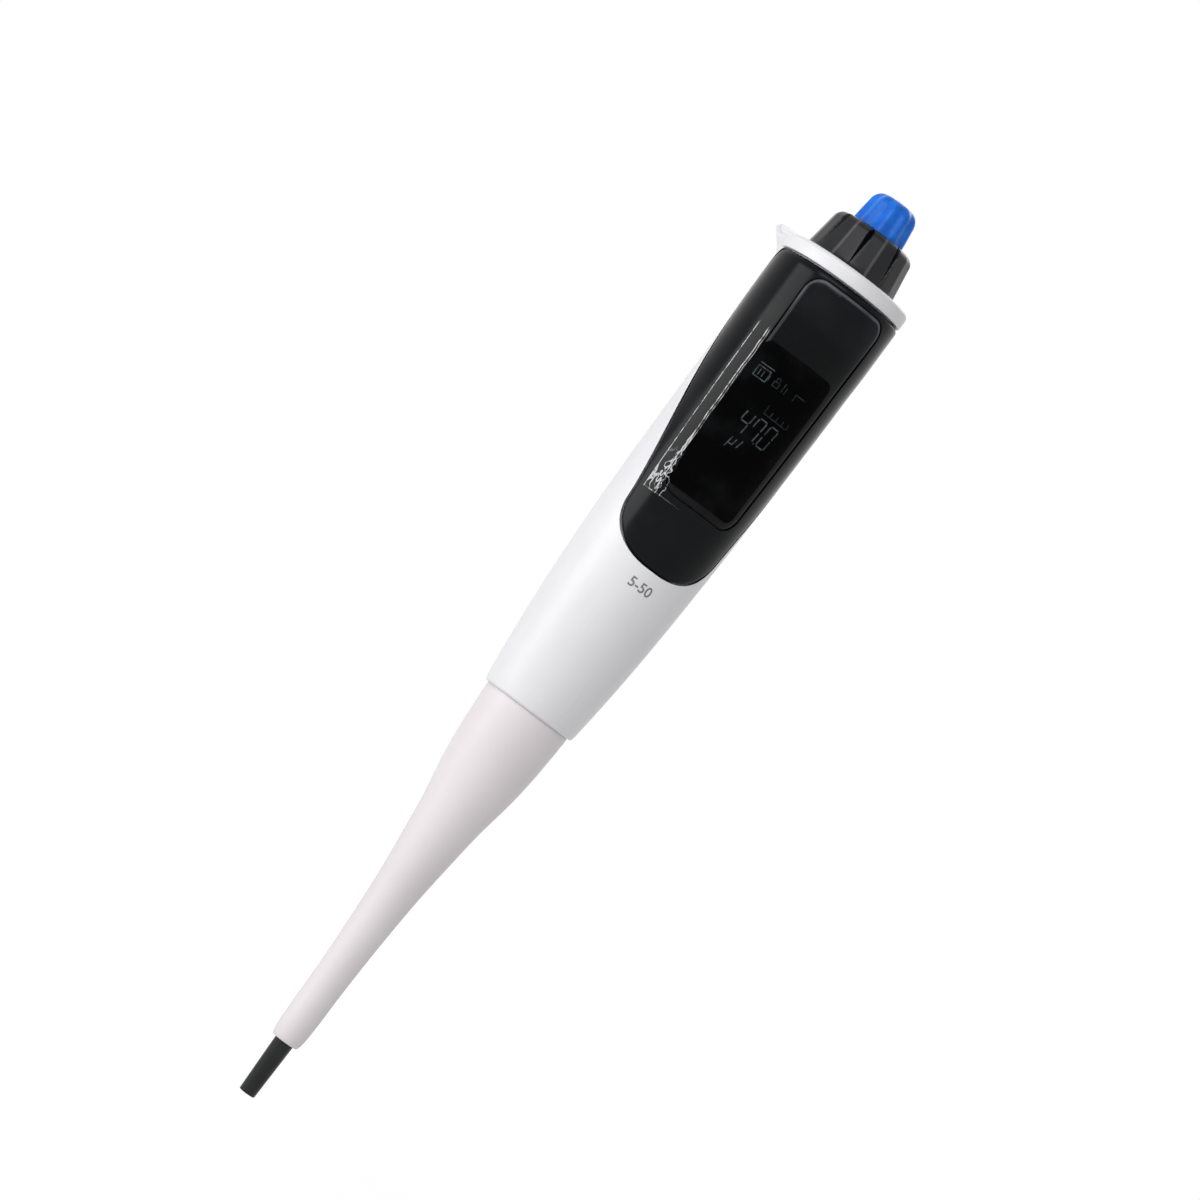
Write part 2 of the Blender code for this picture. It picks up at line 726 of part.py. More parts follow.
def make_display(parent, glass, glass_dark, plastic, board_green, steel):
    curved_patch(
        "display_lens",
        corner_levels(LENS_BOTTOM, LENS_TOP, LENS_CORNER, 4),
        lens_half_angle,
        lambda a, h: grip_radius(a, h) - LENS_INSET,
        lambda a, h: grip_radius(a, h) - LENS_INSET - LENS_THICKNESS,
        glass,
        parent,
        COVER_COLUMNS // 2,
    )
    half = LCD_FRAME_HALF_WIDTH
    frame = block(
        "lcd_frame",
        (-half, LCD_FRAME_FRONT, LCD_FRAME_BOTTOM),
        (half, LCD_FRAME_BACK, LCD_FRAME_TOP),
        plastic,
        parent,
    )
    inside = half - LCD_FRAME_WALL
    pocket = block(
        "lcd_pocket",
        (-inside, LCD_FRAME_FRONT - LCD_THICKNESS, LCD_FRAME_BOTTOM + LCD_FRAME_WALL),
        (inside, LCD_FRAME_BACK + GAP, LCD_FRAME_TOP - LCD_FRAME_WALL),
        None,
        parent,
    )
    subtract(frame, pocket)
    block(
        "lcd_panel",
        (
            -inside + GAP,
            LCD_FRAME_BACK - GAP - LCD_THICKNESS,
            LCD_FRAME_BOTTOM + LCD_FRAME_WALL + GAP,
        ),
        (inside - GAP, LCD_FRAME_BACK - GAP, LCD_FRAME_TOP - LCD_FRAME_WALL - GAP),
        glass_dark,
        parent,
    )
    block(
        "circuit_board",
        (-BOARD_HALF_WIDTH, BOARD_FRONT, BOARD_BOTTOM),
        (BOARD_HALF_WIDTH, BOARD_BACK, BOARD_TOP),
        board_green,
        parent,
    )
    make_coin_cell(parent, steel)


def make_coin_cell(parent, steel):
    back = BOARD_FRONT - GAP
    cell = turned(
        "coin_cell",
        [(CELL_RADIUS - GAP, 0.0), (CELL_RADIUS, GAP), (CELL_RADIUS, CELL_THICKNESS)],
        None,
        steel,
        parent,
        SMALL_STEPS,
    )
    cell.location = (0.0, back - CELL_THICKNESS, CELL_CENTRE)
    cell.rotation_euler = (math.radians(-90.0), 0.0, 0.0)
    front = back - CELL_THICKNESS - GAP
    reach = CELL_RADIUS + GAP
    clip = block(
        "cell_clip",
        (-CLIP_HALF_WIDTH, front - CLIP_THICKNESS, CELL_CENTRE - reach - CLIP_THICKNESS),
        (CLIP_HALF_WIDTH, back, CELL_CENTRE + reach + CLIP_THICKNESS),
        steel,
        parent,
    )
    inside = block(
        "cell_clip_inside",
        (-CLIP_HALF_WIDTH - GAP, front, CELL_CENTRE - reach),
        (CLIP_HALF_WIDTH + GAP, back + GAP, CELL_CENTRE + reach),
        None,
        parent,
    )
    subtract(clip, inside)


def make_code_reader(parent, plastic):
    """A forked light barrier whose jaws straddle the rim of the code disc."""
    rim = -(DISC_RADIUS + READER_SLOT_GAP)
    reader = block(
        "code_reader",
        (-READER_HALF_WIDTH, rim - READER_BACK, READER_BOTTOM),
        (READER_HALF_WIDTH, rim + READER_REACH, READER_TOP),
        plastic,
        parent,
    )
    slot = block(
        "reader_slot",
        (-READER_HALF_WIDTH - GAP, rim, DISC_BOTTOM - READER_SLOT_GAP),
        (READER_HALF_WIDTH + GAP, 0.0, DISC_TOP + READER_SLOT_GAP),
        None,
        parent,
    )
    subtract(reader, slot)


def make_top_plate(parent, plastic):
    """The end plate: round over the grip, with a tongue behind that lifts at its edge."""
    angles = even_angles(SHELL_STEPS)

    def edge(angle):
        return skin_radius(angle, HANDLE_TOP + PLATE_THICKNESS)

    def foot(angle):
        return skin_radius(angle, PLATE_BOTTOM)

    def hole(_):
        return HUB_RADIUS + GAP

    def lifted(ring):
        for point in ring:
            point.z += hook_lift(point.y)
        return ring

    sections = [
        ring_points(hole, PLATE_BOTTOM, angles),
        ring_points(foot, PLATE_BOTTOM, angles),
    ]
    rim = PLATE_TOP - PLATE_ROUND
    sections.append(lifted(ring_points(edge, rim, angles)))
    for degrees in (30.0, 60.0, 90.0):
        back = PLATE_ROUND * (1.0 - math.cos(math.radians(degrees)))
        rise = PLATE_ROUND * math.sin(math.radians(degrees))
        sections.append(lifted(ring_points(lambda a: edge(a) - back, rim + rise, angles)))
    for share in (0.75, 0.5, 0.25):
        sections.append(
            lifted(
                ring_points(
                    lambda a: hole(a) + (edge(a) - PLATE_ROUND - hole(a)) * share,
                    PLATE_TOP,
                    angles,
                )
            )
        )
    sections.append(ring_points(hole, PLATE_TOP, angles))
    plate = lofted("top_plate", sections, plastic, parent, closed=True)
    slot = block(
        "ejector_slot",
        (-PAD_HALF_WIDTH - RUNNING_GAP, PAD_INNER_RADIUS - GAP - RUNNING_GAP, PLATE_BOTTOM - GAP),
        (PAD_HALF_WIDTH + RUNNING_GAP, PAD_OUTER_RADIUS + RUNNING_GAP, PLATE_TOP + HOOK_LIFT),
        None,
        parent,
    )
    floor = PLATE_TOP - SCREW_HEAD_HEIGHT - GAP
    sink = SCREW_HEAD_RADIUS + GAP / 2.0
    hole_outline = [
        (SCREW_HOLE_RADIUS, BEARING_TOP),
        (SCREW_HOLE_RADIUS, floor),
        (sink, floor),
        (sink, PLATE_TOP + GAP),
    ]
    holes = [
        pin(f"plate_hole_{number}", hole_outline, around(PLATE_SCREW_CIRCLE, degrees), parent)
        for number, degrees in enumerate(PLATE_SCREW_ANGLES, 1)
    ]
    subtract(plate, slot, *holes)


def make_bearing_plate(parent, metal):
    """Carries the dial sleeve; its bosses take the screws of the top plate."""
    outer = handle_radius(BEARING_BOTTOM) - HANDLE_WALL - GAP
    plate = turned(
        "bearing_plate",
        [(outer, BEARING_BOTTOM), (outer, BEARING_TOP)],
        [(BEARING_BORE, BEARING_BOTTOM), (BEARING_BORE, BEARING_TOP)],
        metal,
        parent,
    )
    middle = BEARING_TOP - BEARING_THICKNESS / 2.0
    boss_outline = [(BOSS_RADIUS, middle), (BOSS_RADIUS, PLATE_BOTTOM - GAP)]
    bore_outline = [(SCREW_HOLE_RADIUS, middle), (SCREW_HOLE_RADIUS, PLATE_TOP)]
    hole_outline = [
        (SCREW_HOLE_RADIUS, BEARING_BOTTOM - GAP),
        (SCREW_HOLE_RADIUS, BEARING_TOP + GAP),
    ]
    bosses = []
    cuts = [bar_notch("bearing_notch", parent, BEARING_BOTTOM - GAP, BEARING_TOP + GAP)]
    for number, degrees in enumerate(PLATE_SCREW_ANGLES, 1):
        centre = around(PLATE_SCREW_CIRCLE, degrees)
        bosses.append(pin(f"bearing_boss_{number}", boss_outline, centre, parent))
        cuts.append(pin(f"boss_bore_{number}", bore_outline, centre, parent))
    for number, degrees in enumerate(POST_ANGLES, 1):
        centre = around(POST_CIRCLE, degrees)
        cuts.append(pin(f"bearing_hole_{number}", hole_outline, centre, parent))
    unite(plate, *bosses)
    subtract(plate, *cuts)


def bar_notch(name, parent, bottom, top):
    """Room at the back of a plate for the ejector bar to slide."""
    half = BAR_HALF_WIDTH + RUNNING_GAP
    front = BAR_HIGH_OFFSET - BAR_THICKNESS / 2.0 - RUNNING_GAP
    return block(name, (-half, front, bottom), (half, 2.0 * GRIP_RADIUS, top), None, parent)


def make_chassis(parent, metal):
    """The tube between the top and the tip cone, with a flange and four posts on top."""
    flange_radius = handle_radius(CHASSIS_TOP) - HANDLE_WALL - RUNNING_GAP
    flange_bottom = CHASSIS_TOP - CHASSIS_FLANGE_THICKNESS
    ledge_top = CHASSIS_BOTTOM + CHASSIS_LEDGE_THICKNESS
    chassis = turned(
        "chassis",
        [
            (CHASSIS_RADIUS, CHASSIS_BOTTOM),
            (CHASSIS_RADIUS, flange_bottom),
            (flange_radius, flange_bottom),
            (flange_radius, CHASSIS_TOP),
        ],
        [
            (CHASSIS_BORE - CHASSIS_LEDGE, CHASSIS_BOTTOM),
            (CHASSIS_BORE - CHASSIS_LEDGE, ledge_top),
            (CHASSIS_BORE, ledge_top),
            (CHASSIS_BORE, CHASSIS_TOP),
        ],
        metal,
        parent,
    )
    front_flat = block(
        "chassis_flat",
        (-GRIP_RADIUS, -GRIP_RADIUS, flange_bottom - GAP),
        (GRIP_RADIUS, -CHASSIS_RADIUS, CHASSIS_TOP + GAP),
        None,
        parent,
    )
    notch = bar_notch("chassis_notch", parent, flange_bottom - GAP, CHASSIS_TOP + GAP)
    post_foot = CHASSIS_TOP - CHASSIS_FLANGE_THICKNESS / 2.0
    post_outline = [(POST_RADIUS, post_foot), (POST_RADIUS, BEARING_BOTTOM - GAP)]
    bore_foot = BEARING_TOP - BEARING_SCREW_LENGTH - GAP
    bore_outline = [(SCREW_HOLE_RADIUS, bore_foot), (SCREW_HOLE_RADIUS, BEARING_TOP)]
    posts = []
    bores = []
    for number, degrees in enumerate(POST_ANGLES, 1):
        centre = around(POST_CIRCLE, degrees)
        posts.append(pin(f"chassis_post_{number}", post_outline, centre, parent))
        bores.append(pin(f"post_bore_{number}", bore_outline, centre, parent))
    unite(chassis, *posts)
    subtract(chassis, front_flat, notch, *bores)


def make_nuts(parent, brass, plastic):
    turned(
        "thread_nut",
        [
            (CHASSIS_BORE - GAP, NUT_BOTTOM),
            (CHASSIS_BORE - GAP, NUT_FLANGE_BOTTOM),
            (CHASSIS_BORE + NUT_FLANGE_WIDTH, NUT_FLANGE_BOTTOM),
            (CHASSIS_BORE + NUT_FLANGE_WIDTH, NUT_TOP),
        ],
        [(DIAL_SLEEVE_BORE, NUT_BOTTOM), (DIAL_SLEEVE_BORE, NUT_TOP)],
        brass,
        parent,
    )
    ribs = 2 * COUPLING_RIBS
    rib_depth = COUPLING_WALL / 4.0
    angles = even_angles(2 * ribs)

    def ribbed(angle):
        step = round(angle / (2.0 * math.pi) * 2 * ribs) % 4
        return COUPLING_RADIUS - (rib_depth if step >= 2 else 0.0)

    lip_top = COUPLING_BOTTOM + COUPLING_LIP
    sections = [
        ring_points(lambda a: CONE_NECK_RADIUS + GAP, COUPLING_BOTTOM, angles),
        ring_points(ribbed, COUPLING_BOTTOM, angles),
        ring_points(ribbed, COUPLING_TOP, angles),
        ring_points(lambda a: COUPLING_BORE, COUPLING_TOP, angles),
        ring_points(lambda a: COUPLING_BORE, lip_top, angles),
        ring_points(lambda a: CONE_NECK_RADIUS + GAP, lip_top, angles),
    ]
    lofted("coupling_nut", sections, plastic, parent, closed=True)


def make_tip_cone(parent, plastic):
    round_steps = [
        (
            NOZZLE_END_RADIUS - NOZZLE_ROUND * (1.0 - math.sin(math.radians(a))),
            NOZZLE_ROUND * (1.0 - math.cos(math.radians(a))),
        )
        for a in (0.0, 30.0, 60.0, 90.0)
    ]
    outer = [
        *round_steps,
        (NOZZLE_BASE_RADIUS, NOZZLE_EXPOSED),
        (NOZZLE_BASE_RADIUS + GAP, NOZZLE_EXPOSED + DEAD_LENGTH),
        *[(radius, height) for height, radius in CONE_OUTLINE],
        (CONE_NECK_RADIUS, CONE_NECK_HEIGHT),
        (CONE_NECK_RADIUS, CONE_FLANGE_BOTTOM),
        (CONE_FLANGE_RADIUS, CONE_FLANGE_BOTTOM),
        (CONE_FLANGE_RADIUS, CONE_LENGTH),
    ]
    inner = [
        (AIR_BORE_RADIUS, 0.0),
        (AIR_BORE_RADIUS, CHAMBER_BOTTOM - CHAMBER_RADIUS),
        (CHAMBER_RADIUS, CHAMBER_BOTTOM),
        (CHAMBER_RADIUS, POCKET_BOTTOM),
        (SEAL_POCKET_RADIUS, POCKET_BOTTOM),
        (SEAL_POCKET_RADIUS, CONE_SHOULDER),
        (CONE_BORE_RADIUS, CONE_SHOULDER),
        (CONE_BORE_RADIUS, CONE_LENGTH),
    ]
    turned("tip_cone", outer, inner, plastic, parent)


def make_seals(parent, rubber, white, metal):
    ring_radius = (CHAMBER_RADIUS + SEAL_POCKET_RADIUS) / 2.0
    centre = POCKET_BOTTOM + GAP + O_RING_SECTION
    sections = []
    for i in range(10):
        angle = 2.0 * math.pi * i / 10
        radius = ring_radius + O_RING_SECTION * math.cos(angle)
        height = centre + O_RING_SECTION * math.sin(angle)
        sections.append(ring_points(lambda a: radius, height, even_angles(SMALL_STEPS)))
    lofted("o_ring", sections, rubber, parent, closed=True)
    seal_bottom = centre + O_RING_SECTION + GAP
    seal_top = seal_bottom + PISTON_SEAL_HEIGHT
    outer = SEAL_POCKET_RADIUS - GAP
    lip = PISTON_SEAL_HEIGHT / 3.0
    turned(
        "piston_seal",
        [(outer, seal_bottom), (outer, seal_top)],
        [
            (CHAMBER_RADIUS, seal_bottom),
            (CHAMBER_RADIUS, seal_bottom + lip),
            (CHAMBER_RADIUS + lip, seal_top),
        ],
        white,
        parent,
        SMALL_STEPS,
    )
    turned(
        "seal_retainer",
        [
            (outer, seal_top + GAP),
            (outer, CONE_SHOULDER + GAP),
            (CONE_BORE_RADIUS - GAP, CONE_SHOULDER + GAP),
            (CONE_BORE_RADIUS - GAP, CONE_SHOULDER + GAP + RETAINER_FLANGE),
        ],
        [
            (CHAMBER_RADIUS, seal_top + GAP),
            (CHAMBER_RADIUS, CONE_SHOULDER + GAP + RETAINER_FLANGE),
        ],
        metal,
        parent,
        SMALL_STEPS,
    )


def coil(name, radius, wire, turns, bottom, top, steel, parent):
    """A compression spring with its end turns laid close, standing between two heights."""
    count = turns * COIL_STEPS
    low = bottom + wire
    rise = top - bottom - 2.0 * wire
    form = bmesh.new()
    rings = []
    for i in range(count + 1):
        share = i / count
        angle = 2.0 * math.pi * turns * share
        close = 1.0 / turns
        pitch = clamp((share - close) / (1.0 - 2.0 * close))
        ends = 2.2 * wire * (min(share, close) + max(share - 1.0 + close, 0.0)) / close
        height = low + ends + (rise - 4.4 * wire) * pitch
        ring = []
        for side in range(COIL_SIDES):
            turn = 2.0 * math.pi * side / COIL_SIDES
            reach = radius + wire * math.cos(turn)
            point = (
                reach * math.sin(angle),
                -reach * math.cos(angle),
                height + wire * math.sin(turn),
            )
            ring.append(form.verts.new(point))
        rings.append(ring)
    for low_ring, high_ring in zip(rings, rings[1:]):
        for side in range(COIL_SIDES):
            other = (side + 1) % COIL_SIDES
            form.faces.new(
                (low_ring[side], low_ring[other], high_ring[other], high_ring[side])
            )
    form.faces.new(rings[0])
    form.faces.new(rings[-1])
    return add_object(name, mesh_from(name, form, 60.0), steel, parent)


def make_springs(parent, steel, plastic):
    seat_radius = CHASSIS_BORE - GAP
    turned(
        "spring_seat",
        [(seat_radius, SEAT_BOTTOM), (seat_radius, SEAT_BOTTOM + SEAT_THICKNESS)],
        [
            (CHAMBER_RADIUS + GAP, SEAT_BOTTOM),
            (CHAMBER_RADIUS + GAP, SEAT_BOTTOM + SEAT_THICKNESS),
        ],
        plastic,
        parent,
        SMALL_STEPS,
    )
    turned(
        "blowout_plate",
        [(seat_radius, BLOWOUT_PLATE_BOTTOM), (seat_radius, BLOWOUT_PLATE_TOP)],
        [
            (BLOWOUT_PLATE_BORE, BLOWOUT_PLATE_BOTTOM),
            (BLOWOUT_PLATE_BORE, BLOWOUT_PLATE_TOP),
        ],
        steel,
        parent,
        SMALL_STEPS,
    )
    coil(
        "piston_spring",
        PISTON_SPRING_RADIUS,
        PISTON_SPRING_WIRE,
        PISTON_SPRING_TURNS,
        SPRING_FOOT,
        DRIVER_BOTTOM - GAP,
        steel,
        parent,
    )
    coil(
        "blowout_spring",
        BLOWOUT_SPRING_RADIUS,
        BLOWOUT_SPRING_WIRE,
        BLOWOUT_SPRING_TURNS,
        SPRING_FOOT,
        BLOWOUT_PLATE_BOTTOM - GAP,
        steel,
        parent,
    )
    coil(
        "ejector_spring",
        EJECTOR_SPRING_RADIUS,
        EJECTOR_SPRING_WIRE,
        EJECTOR_SPRING_TURNS,
        EJECTOR_SPRING_FOOT,
        EJECTOR_RING_BOTTOM - GAP,
        steel,
        parent,
    )


def screw_piece(name, centre, head_bottom, length, metal, parent):
    piece = turned(
        name,
        [
            (SCREW_SHANK_RADIUS, head_bottom - length),
            (SCREW_SHANK_RADIUS, head_bottom),
            (SCREW_HEAD_RADIUS - GAP / 2.0, head_bottom),
            (SCREW_HEAD_RADIUS - GAP / 2.0, head_bottom + SCREW_HEAD_HEIGHT),
        ],
        None,
        metal,
        parent,
        TINY_STEPS,
    )
    piece.location.x, piece.location.y = centre


def make_screws(parent, metal):
    for number, degrees in enumerate(POST_ANGLES, 1):
        centre = around(POST_CIRCLE, degrees)
        head = BEARING_TOP + GAP
        name = f"bearing_screw_{number}"
        screw_piece(name, centre, head, BEARING_SCREW_LENGTH, metal, parent)
    for number, degrees in enumerate(PLATE_SCREW_ANGLES, 1):
        centre = around(PLATE_SCREW_CIRCLE, degrees)
        head = PLATE_TOP - SCREW_HEAD_HEIGHT
        length = head - BEARING_TOP - BEARING_THICKNESS / 2.0
        screw_piece(f"plate_screw_{number}", centre, head, length, metal, parent)


def lobe_angles(lobes, shares):
    """Angles that repeat the same shares of a lobe all round."""
    return [2.0 * math.pi * (lobe + share) / lobes for lobe in range(lobes) for share in shares]


def make_volume_dial(parent, plastic):
    """A tapered knob: V grooves, deep at the top and gone at the base, between ridged lobes.
    A ridge faces the display, and each lobe has a flat facet on either side of its ridge."""
    shoulder = 0.13
    angles = lobe_angles(DIAL_LOBES, (0.0, 0.18, 0.5 - shoulder, 0.5, 0.5 + shoulder, 0.82))
    facet = math.pi * (0.5 - shoulder) / DIAL_LOBES

    def fluted(radius, strength):
        def radius_at(angle):
            share = angle * DIAL_LOBES / (2.0 * math.pi) % 1.0
            turn = min(share, 1.0 - share) * 2.0 * math.pi / DIAL_LOBES
            flat = radius * math.cos(facet) / math.cos(min(abs(turn - facet), facet))
            groove = max(1.0 - abs(share - 0.5) / shoulder, 0.0)
            shaped = flat - DIAL_GROOVE_DEPTH * groove
            return radius + strength * (shaped - radius)

        return radius_at

    def taper(share):
        return DIAL_BASE_RADIUS + (DIAL_TOP_RADIUS - DIAL_BASE_RADIUS) * share

    sections = [
        ring_points(lambda a: ROD_BORE, HUB_BOTTOM, angles),
        ring_points(lambda a: HUB_RADIUS, HUB_BOTTOM, angles),
        ring_points(lambda a: HUB_RADIUS, DIAL_BASE, angles),
        ring_points(lambda a: DIAL_BASE_RADIUS - GAP, DIAL_BASE, angles),
        ring_points(lambda a: DIAL_BASE_RADIUS, DIAL_BASE + GAP, angles),
    ]
    side = DIAL_HEIGHT - DIAL_ROUND
    for share in (0.2, 0.45, 0.7, 1.0):
        strength = share**1.2
        height = DIAL_BASE + side * share
        sections.append(ring_points(fluted(taper(share), strength), height, angles))
    for degrees in (35.0, 65.0, 90.0):
        back = DIAL_ROUND * (1.0 - math.cos(math.radians(degrees)))
        height = DIAL_TOP - DIAL_ROUND + DIAL_ROUND * math.sin(math.radians(degrees))
        strength = 1.0 + (DIAL_GROOVE_END - 1.0) * back / DIAL_ROUND
        sections.append(ring_points(fluted(DIAL_TOP_RADIUS - back, strength), height, angles))
    sections += [
        ring_points(lambda a: BUTTON_BORE, DIAL_TOP - GAP, angles),
        ring_points(lambda a: BUTTON_BORE, DIAL_BORE_FLOOR, angles),
        ring_points(lambda a: ROD_BORE, DIAL_BORE_FLOOR, angles),
    ]
    lofted("volume_dial", sections, plastic, parent, closed=True)


def make_dial_sleeve(parent, metal):
    collar = DIAL_SLEEVE_RADIUS + DISC_COLLAR_WIDTH
    flange = DIAL_SLEEVE_RADIUS + DIAL_SLEEVE_FLANGE
    sleeve = turned(
        "dial_sleeve",
        [
            (DIAL_SLEEVE_RADIUS, DIAL_SLEEVE_BOTTOM),
            (DIAL_SLEEVE_RADIUS, DISC_COLLAR_BOTTOM),
            (collar, DISC_COLLAR_BOTTOM),
            (collar, DISC_COLLAR_TOP),
            (DIAL_SLEEVE_RADIUS, DISC_COLLAR_TOP),
            (DIAL_SLEEVE_RADIUS, DIAL_FLANGE_BOTTOM),
            (flange, DIAL_FLANGE_BOTTOM),
            (flange, DIAL_FLANGE_TOP),
        ],
        [(DIAL_SLEEVE_BORE, DIAL_SLEEVE_BOTTOM), (DIAL_SLEEVE_BORE, DIAL_FLANGE_TOP)],
        metal,
        parent,
    )
    half = KEY_HALF_WIDTH + GAP
    reach = SCREW_RADIUS + KEY_REACH + GAP
    groove = block(
        "key_groove",
        (-half, -reach, DIAL_SLEEVE_BOTTOM - GAP),
        (half, reach, SCREW_TOP + STOP_RAISE + GAP),
        None,
        parent,
    )
    subtract(sleeve, groove)


def make_code_disc(parent, metal):
    disc = turned(
        "code_disc",
        [(DISC_RADIUS, DISC_BOTTOM), (DISC_RADIUS, DISC_TOP)],
        [(DIAL_SLEEVE_RADIUS + GAP, DISC_BOTTOM), (DIAL_SLEEVE_RADIUS + GAP, DISC_TOP)],
        metal,
        parent,
    )
    slots = []
    for number in range(1, DISC_SLOTS + 1):
        slot = block(
            f"code_slot_{number}",
            (-DISC_SLOT_HALF_WIDTH, -DISC_RADIUS - GAP, DISC_BOTTOM - GAP),
            (DISC_SLOT_HALF_WIDTH, -DISC_RADIUS + DISC_SLOT_LENGTH, DISC_TOP + GAP),
            None,
            parent,
        )
        slot.rotation_euler.z = 2.0 * math.pi * number / DISC_SLOTS
        slots.append(slot)
    subtract(disc, *slots)


def make_dial_retainer(parent, steel):
    inner = DIAL_SLEEVE_RADIUS + GAP
    outer = inner + RETAINER_RING_WIDTH
    turned(
        "dial_retainer",
        [(outer, RETAINER_RING_BOTTOM), (outer, RETAINER_RING_TOP)],
        [(inner, RETAINER_RING_BOTTOM), (inner, RETAINER_RING_TOP)],
        steel,
        parent,
    )


def make_stop_screw(parent, brass):
    """The threaded stop: the dial turns it by two keys and the nut moves it along the axis."""
    screw = turned(
        "stop_screw",
        [(SCREW_RADIUS, SCREW_BOTTOM), (SCREW_RADIUS, SCREW_TOP)],
        [(ROD_BORE, SCREW_BOTTOM), (ROD_BORE, SCREW_TOP)],
        brass,
        parent,
    )
    keys = []
    for number, side in ((1, -1.0), (2, 1.0)):
        ends = sorted((side * (ROD_BORE + GAP), side * (SCREW_RADIUS + KEY_REACH)))
        key = block(
            f"stop_key_{number}",
            (-KEY_HALF_WIDTH, ends[0], SCREW_TOP - KEY_HEIGHT),
            (KEY_HALF_WIDTH, ends[1], SCREW_TOP - GAP),
            None,
            parent,
        )
        keys.append(key)
    unite(screw, *keys)


def make_push_button(parent, plastic):
    """A fluted cap, tapering to a rounded crown, blind-bored for the rod."""
    angles = lobe_angles(BUTTON_FLUTES, (0.0, 0.25, 0.5, 0.75))

    def fluted(radius, strength):
        def radius_at(angle):
            return radius - strength * BUTTON_GROOVE_DEPTH * (
                0.5 + 0.5 * math.cos(angle * BUTTON_FLUTES)
            )

        return radius_at

    socket = ROD_RADIUS + GAP
    sections = [
        ring_points(lambda a: socket, ROD_TOP + GAP, angles),
        ring_points(lambda a: socket, BUTTON_BOTTOM, angles),
        ring_points(lambda a: BUTTON_RADIUS - GAP, BUTTON_BOTTOM, angles),
        ring_points(lambda a: BUTTON_RADIUS, BUTTON_BOTTOM + GAP, angles),
    ]
    crown_base = BUTTON_TOP - BUTTON_CROWN
    for share in (0.25, 0.6, 1.0):
        height = BUTTON_BOTTOM + GAP + (crown_base - BUTTON_BOTTOM - GAP) * share
        radius = BUTTON_RADIUS + (BUTTON_NECK_RADIUS - BUTTON_RADIUS) * share**1.5
        sections.append(ring_points(fluted(radius, min(2.0 * share, 1.0)), height, angles))
    for degrees in (25.0, 50.0, 72.0, 90.0):
        turn = math.radians(degrees)
        drawn = (BUTTON_NECK_RADIUS - BUTTON_TOP_RADIUS) * (1.0 - math.cos(turn))
        radius = BUTTON_NECK_RADIUS - drawn
        height = crown_base + BUTTON_CROWN * math.sin(turn)
        sections.append(
            ring_points(fluted(radius, 1.0 - degrees / 90.0), height, angles)
        )
    lofted("push_button", sections, plastic, parent)


def make_plunger(parent, steel, plastic, ceramic):
    turned(
        "control_rod",
        [(ROD_RADIUS, DRIVER_TOP + GAP), (ROD_RADIUS, ROD_TOP)],
        None,
        steel,
        parent,
        SMALL_STEPS,
    )
    turned(
        "stop_collar",
        [
            (STOP_COLLAR_RADIUS, STOP_COLLAR_TOP - STOP_COLLAR_THICKNESS),
            (STOP_COLLAR_RADIUS, STOP_COLLAR_TOP),
        ],
        [
            (ROD_RADIUS + GAP, STOP_COLLAR_TOP - STOP_COLLAR_THICKNESS),
            (ROD_RADIUS + GAP, STOP_COLLAR_TOP),
        ],
        steel,
        parent,
        SMALL_STEPS,
    )
    turned(
        "piston_driver",
        [
            (CHASSIS_BORE - GAP, DRIVER_BOTTOM),
            (CHASSIS_BORE - GAP, DRIVER_TOP - GAP),
            (CHASSIS_BORE - 2.0 * GAP, DRIVER_TOP),
        ],
        None,
        plastic,
        parent,
        SMALL_STEPS,
    )
    turned(
        "piston",
        [
            (PISTON_RADIUS - GAP, PISTON_BOTTOM),
            (PISTON_RADIUS, PISTON_BOTTOM + GAP),
            (PISTON_RADIUS, PISTON_TOP),
        ],
        None,
        ceramic,
        parent,
        SMALL_STEPS,
    )


def make_ejector_sleeve(parent, plastic):
    """The white cone: a thin turned shell that clears the tip cone over its whole stroke."""
    outer = [(radius, SLEEVE_BOTTOM + height) for height, radius in SLEEVE_OUTLINE]
    outer.append((SLEEVE_NECK_RADIUS, SLEEVE_TOP))
    end_bore = NOZZLE_BASE_RADIUS + RUNNING_GAP
    inner = [(end_bore, SLEEVE_BOTTOM)]
    for height, radius in SLEEVE_OUTLINE[2:]:
        inner.append((max(radius - SLEEVE_WALL, end_bore), SLEEVE_BOTTOM + height))
    inner.append((SLEEVE_NECK_RADIUS - SLEEVE_WALL, SLEEVE_TOP))
    turned("ejector_sleeve", outer, inner, plastic, parent)


def make_ejector_bar(parent, steel):
    """A flat bar from the sleeve's rim, past the chassis, to the thumb button."""
    bottom = SLEEVE_TOP + GAP
    stations = (
        (bottom, BAR_LOW_OFFSET),
        (bottom + BAR_LOW_LENGTH, BAR_LOW_OFFSET),
        (EJECTOR_RING_BOTTOM, BAR_RING_OFFSET),
        (EJECTOR_RING_BOTTOM + BAR_JOG_LENGTH, BAR_HIGH_OFFSET),
        (PAD_BASE - GAP, BAR_HIGH_OFFSET),
    )
    half = BAR_HALF_WIDTH
    sections = []
    for height, offset in stations:
        near = offset - BAR_THICKNESS / 2.0
        far = offset + BAR_THICKNESS / 2.0
        corners = ((-half, near), (half, near), (half, far), (-half, far))
        sections.append([Vector((x, y, height)) for x, y in corners])
    lofted("ejector_bar", sections, steel, parent)


def make_ejector_ring(parent, plastic):
    outer = BAR_RING_OFFSET - BAR_THICKNESS / 2.0 - GAP
    turned(
        "ejector_ring",
        [(outer, EJECTOR_RING_BOTTOM), (outer, EJECTOR_RING_TOP)],
        [(EJECTOR_RING_BORE, EJECTOR_RING_BOTTOM), (EJECTOR_RING_BORE, EJECTOR_RING_TOP)],
        plastic,
        parent,
    )


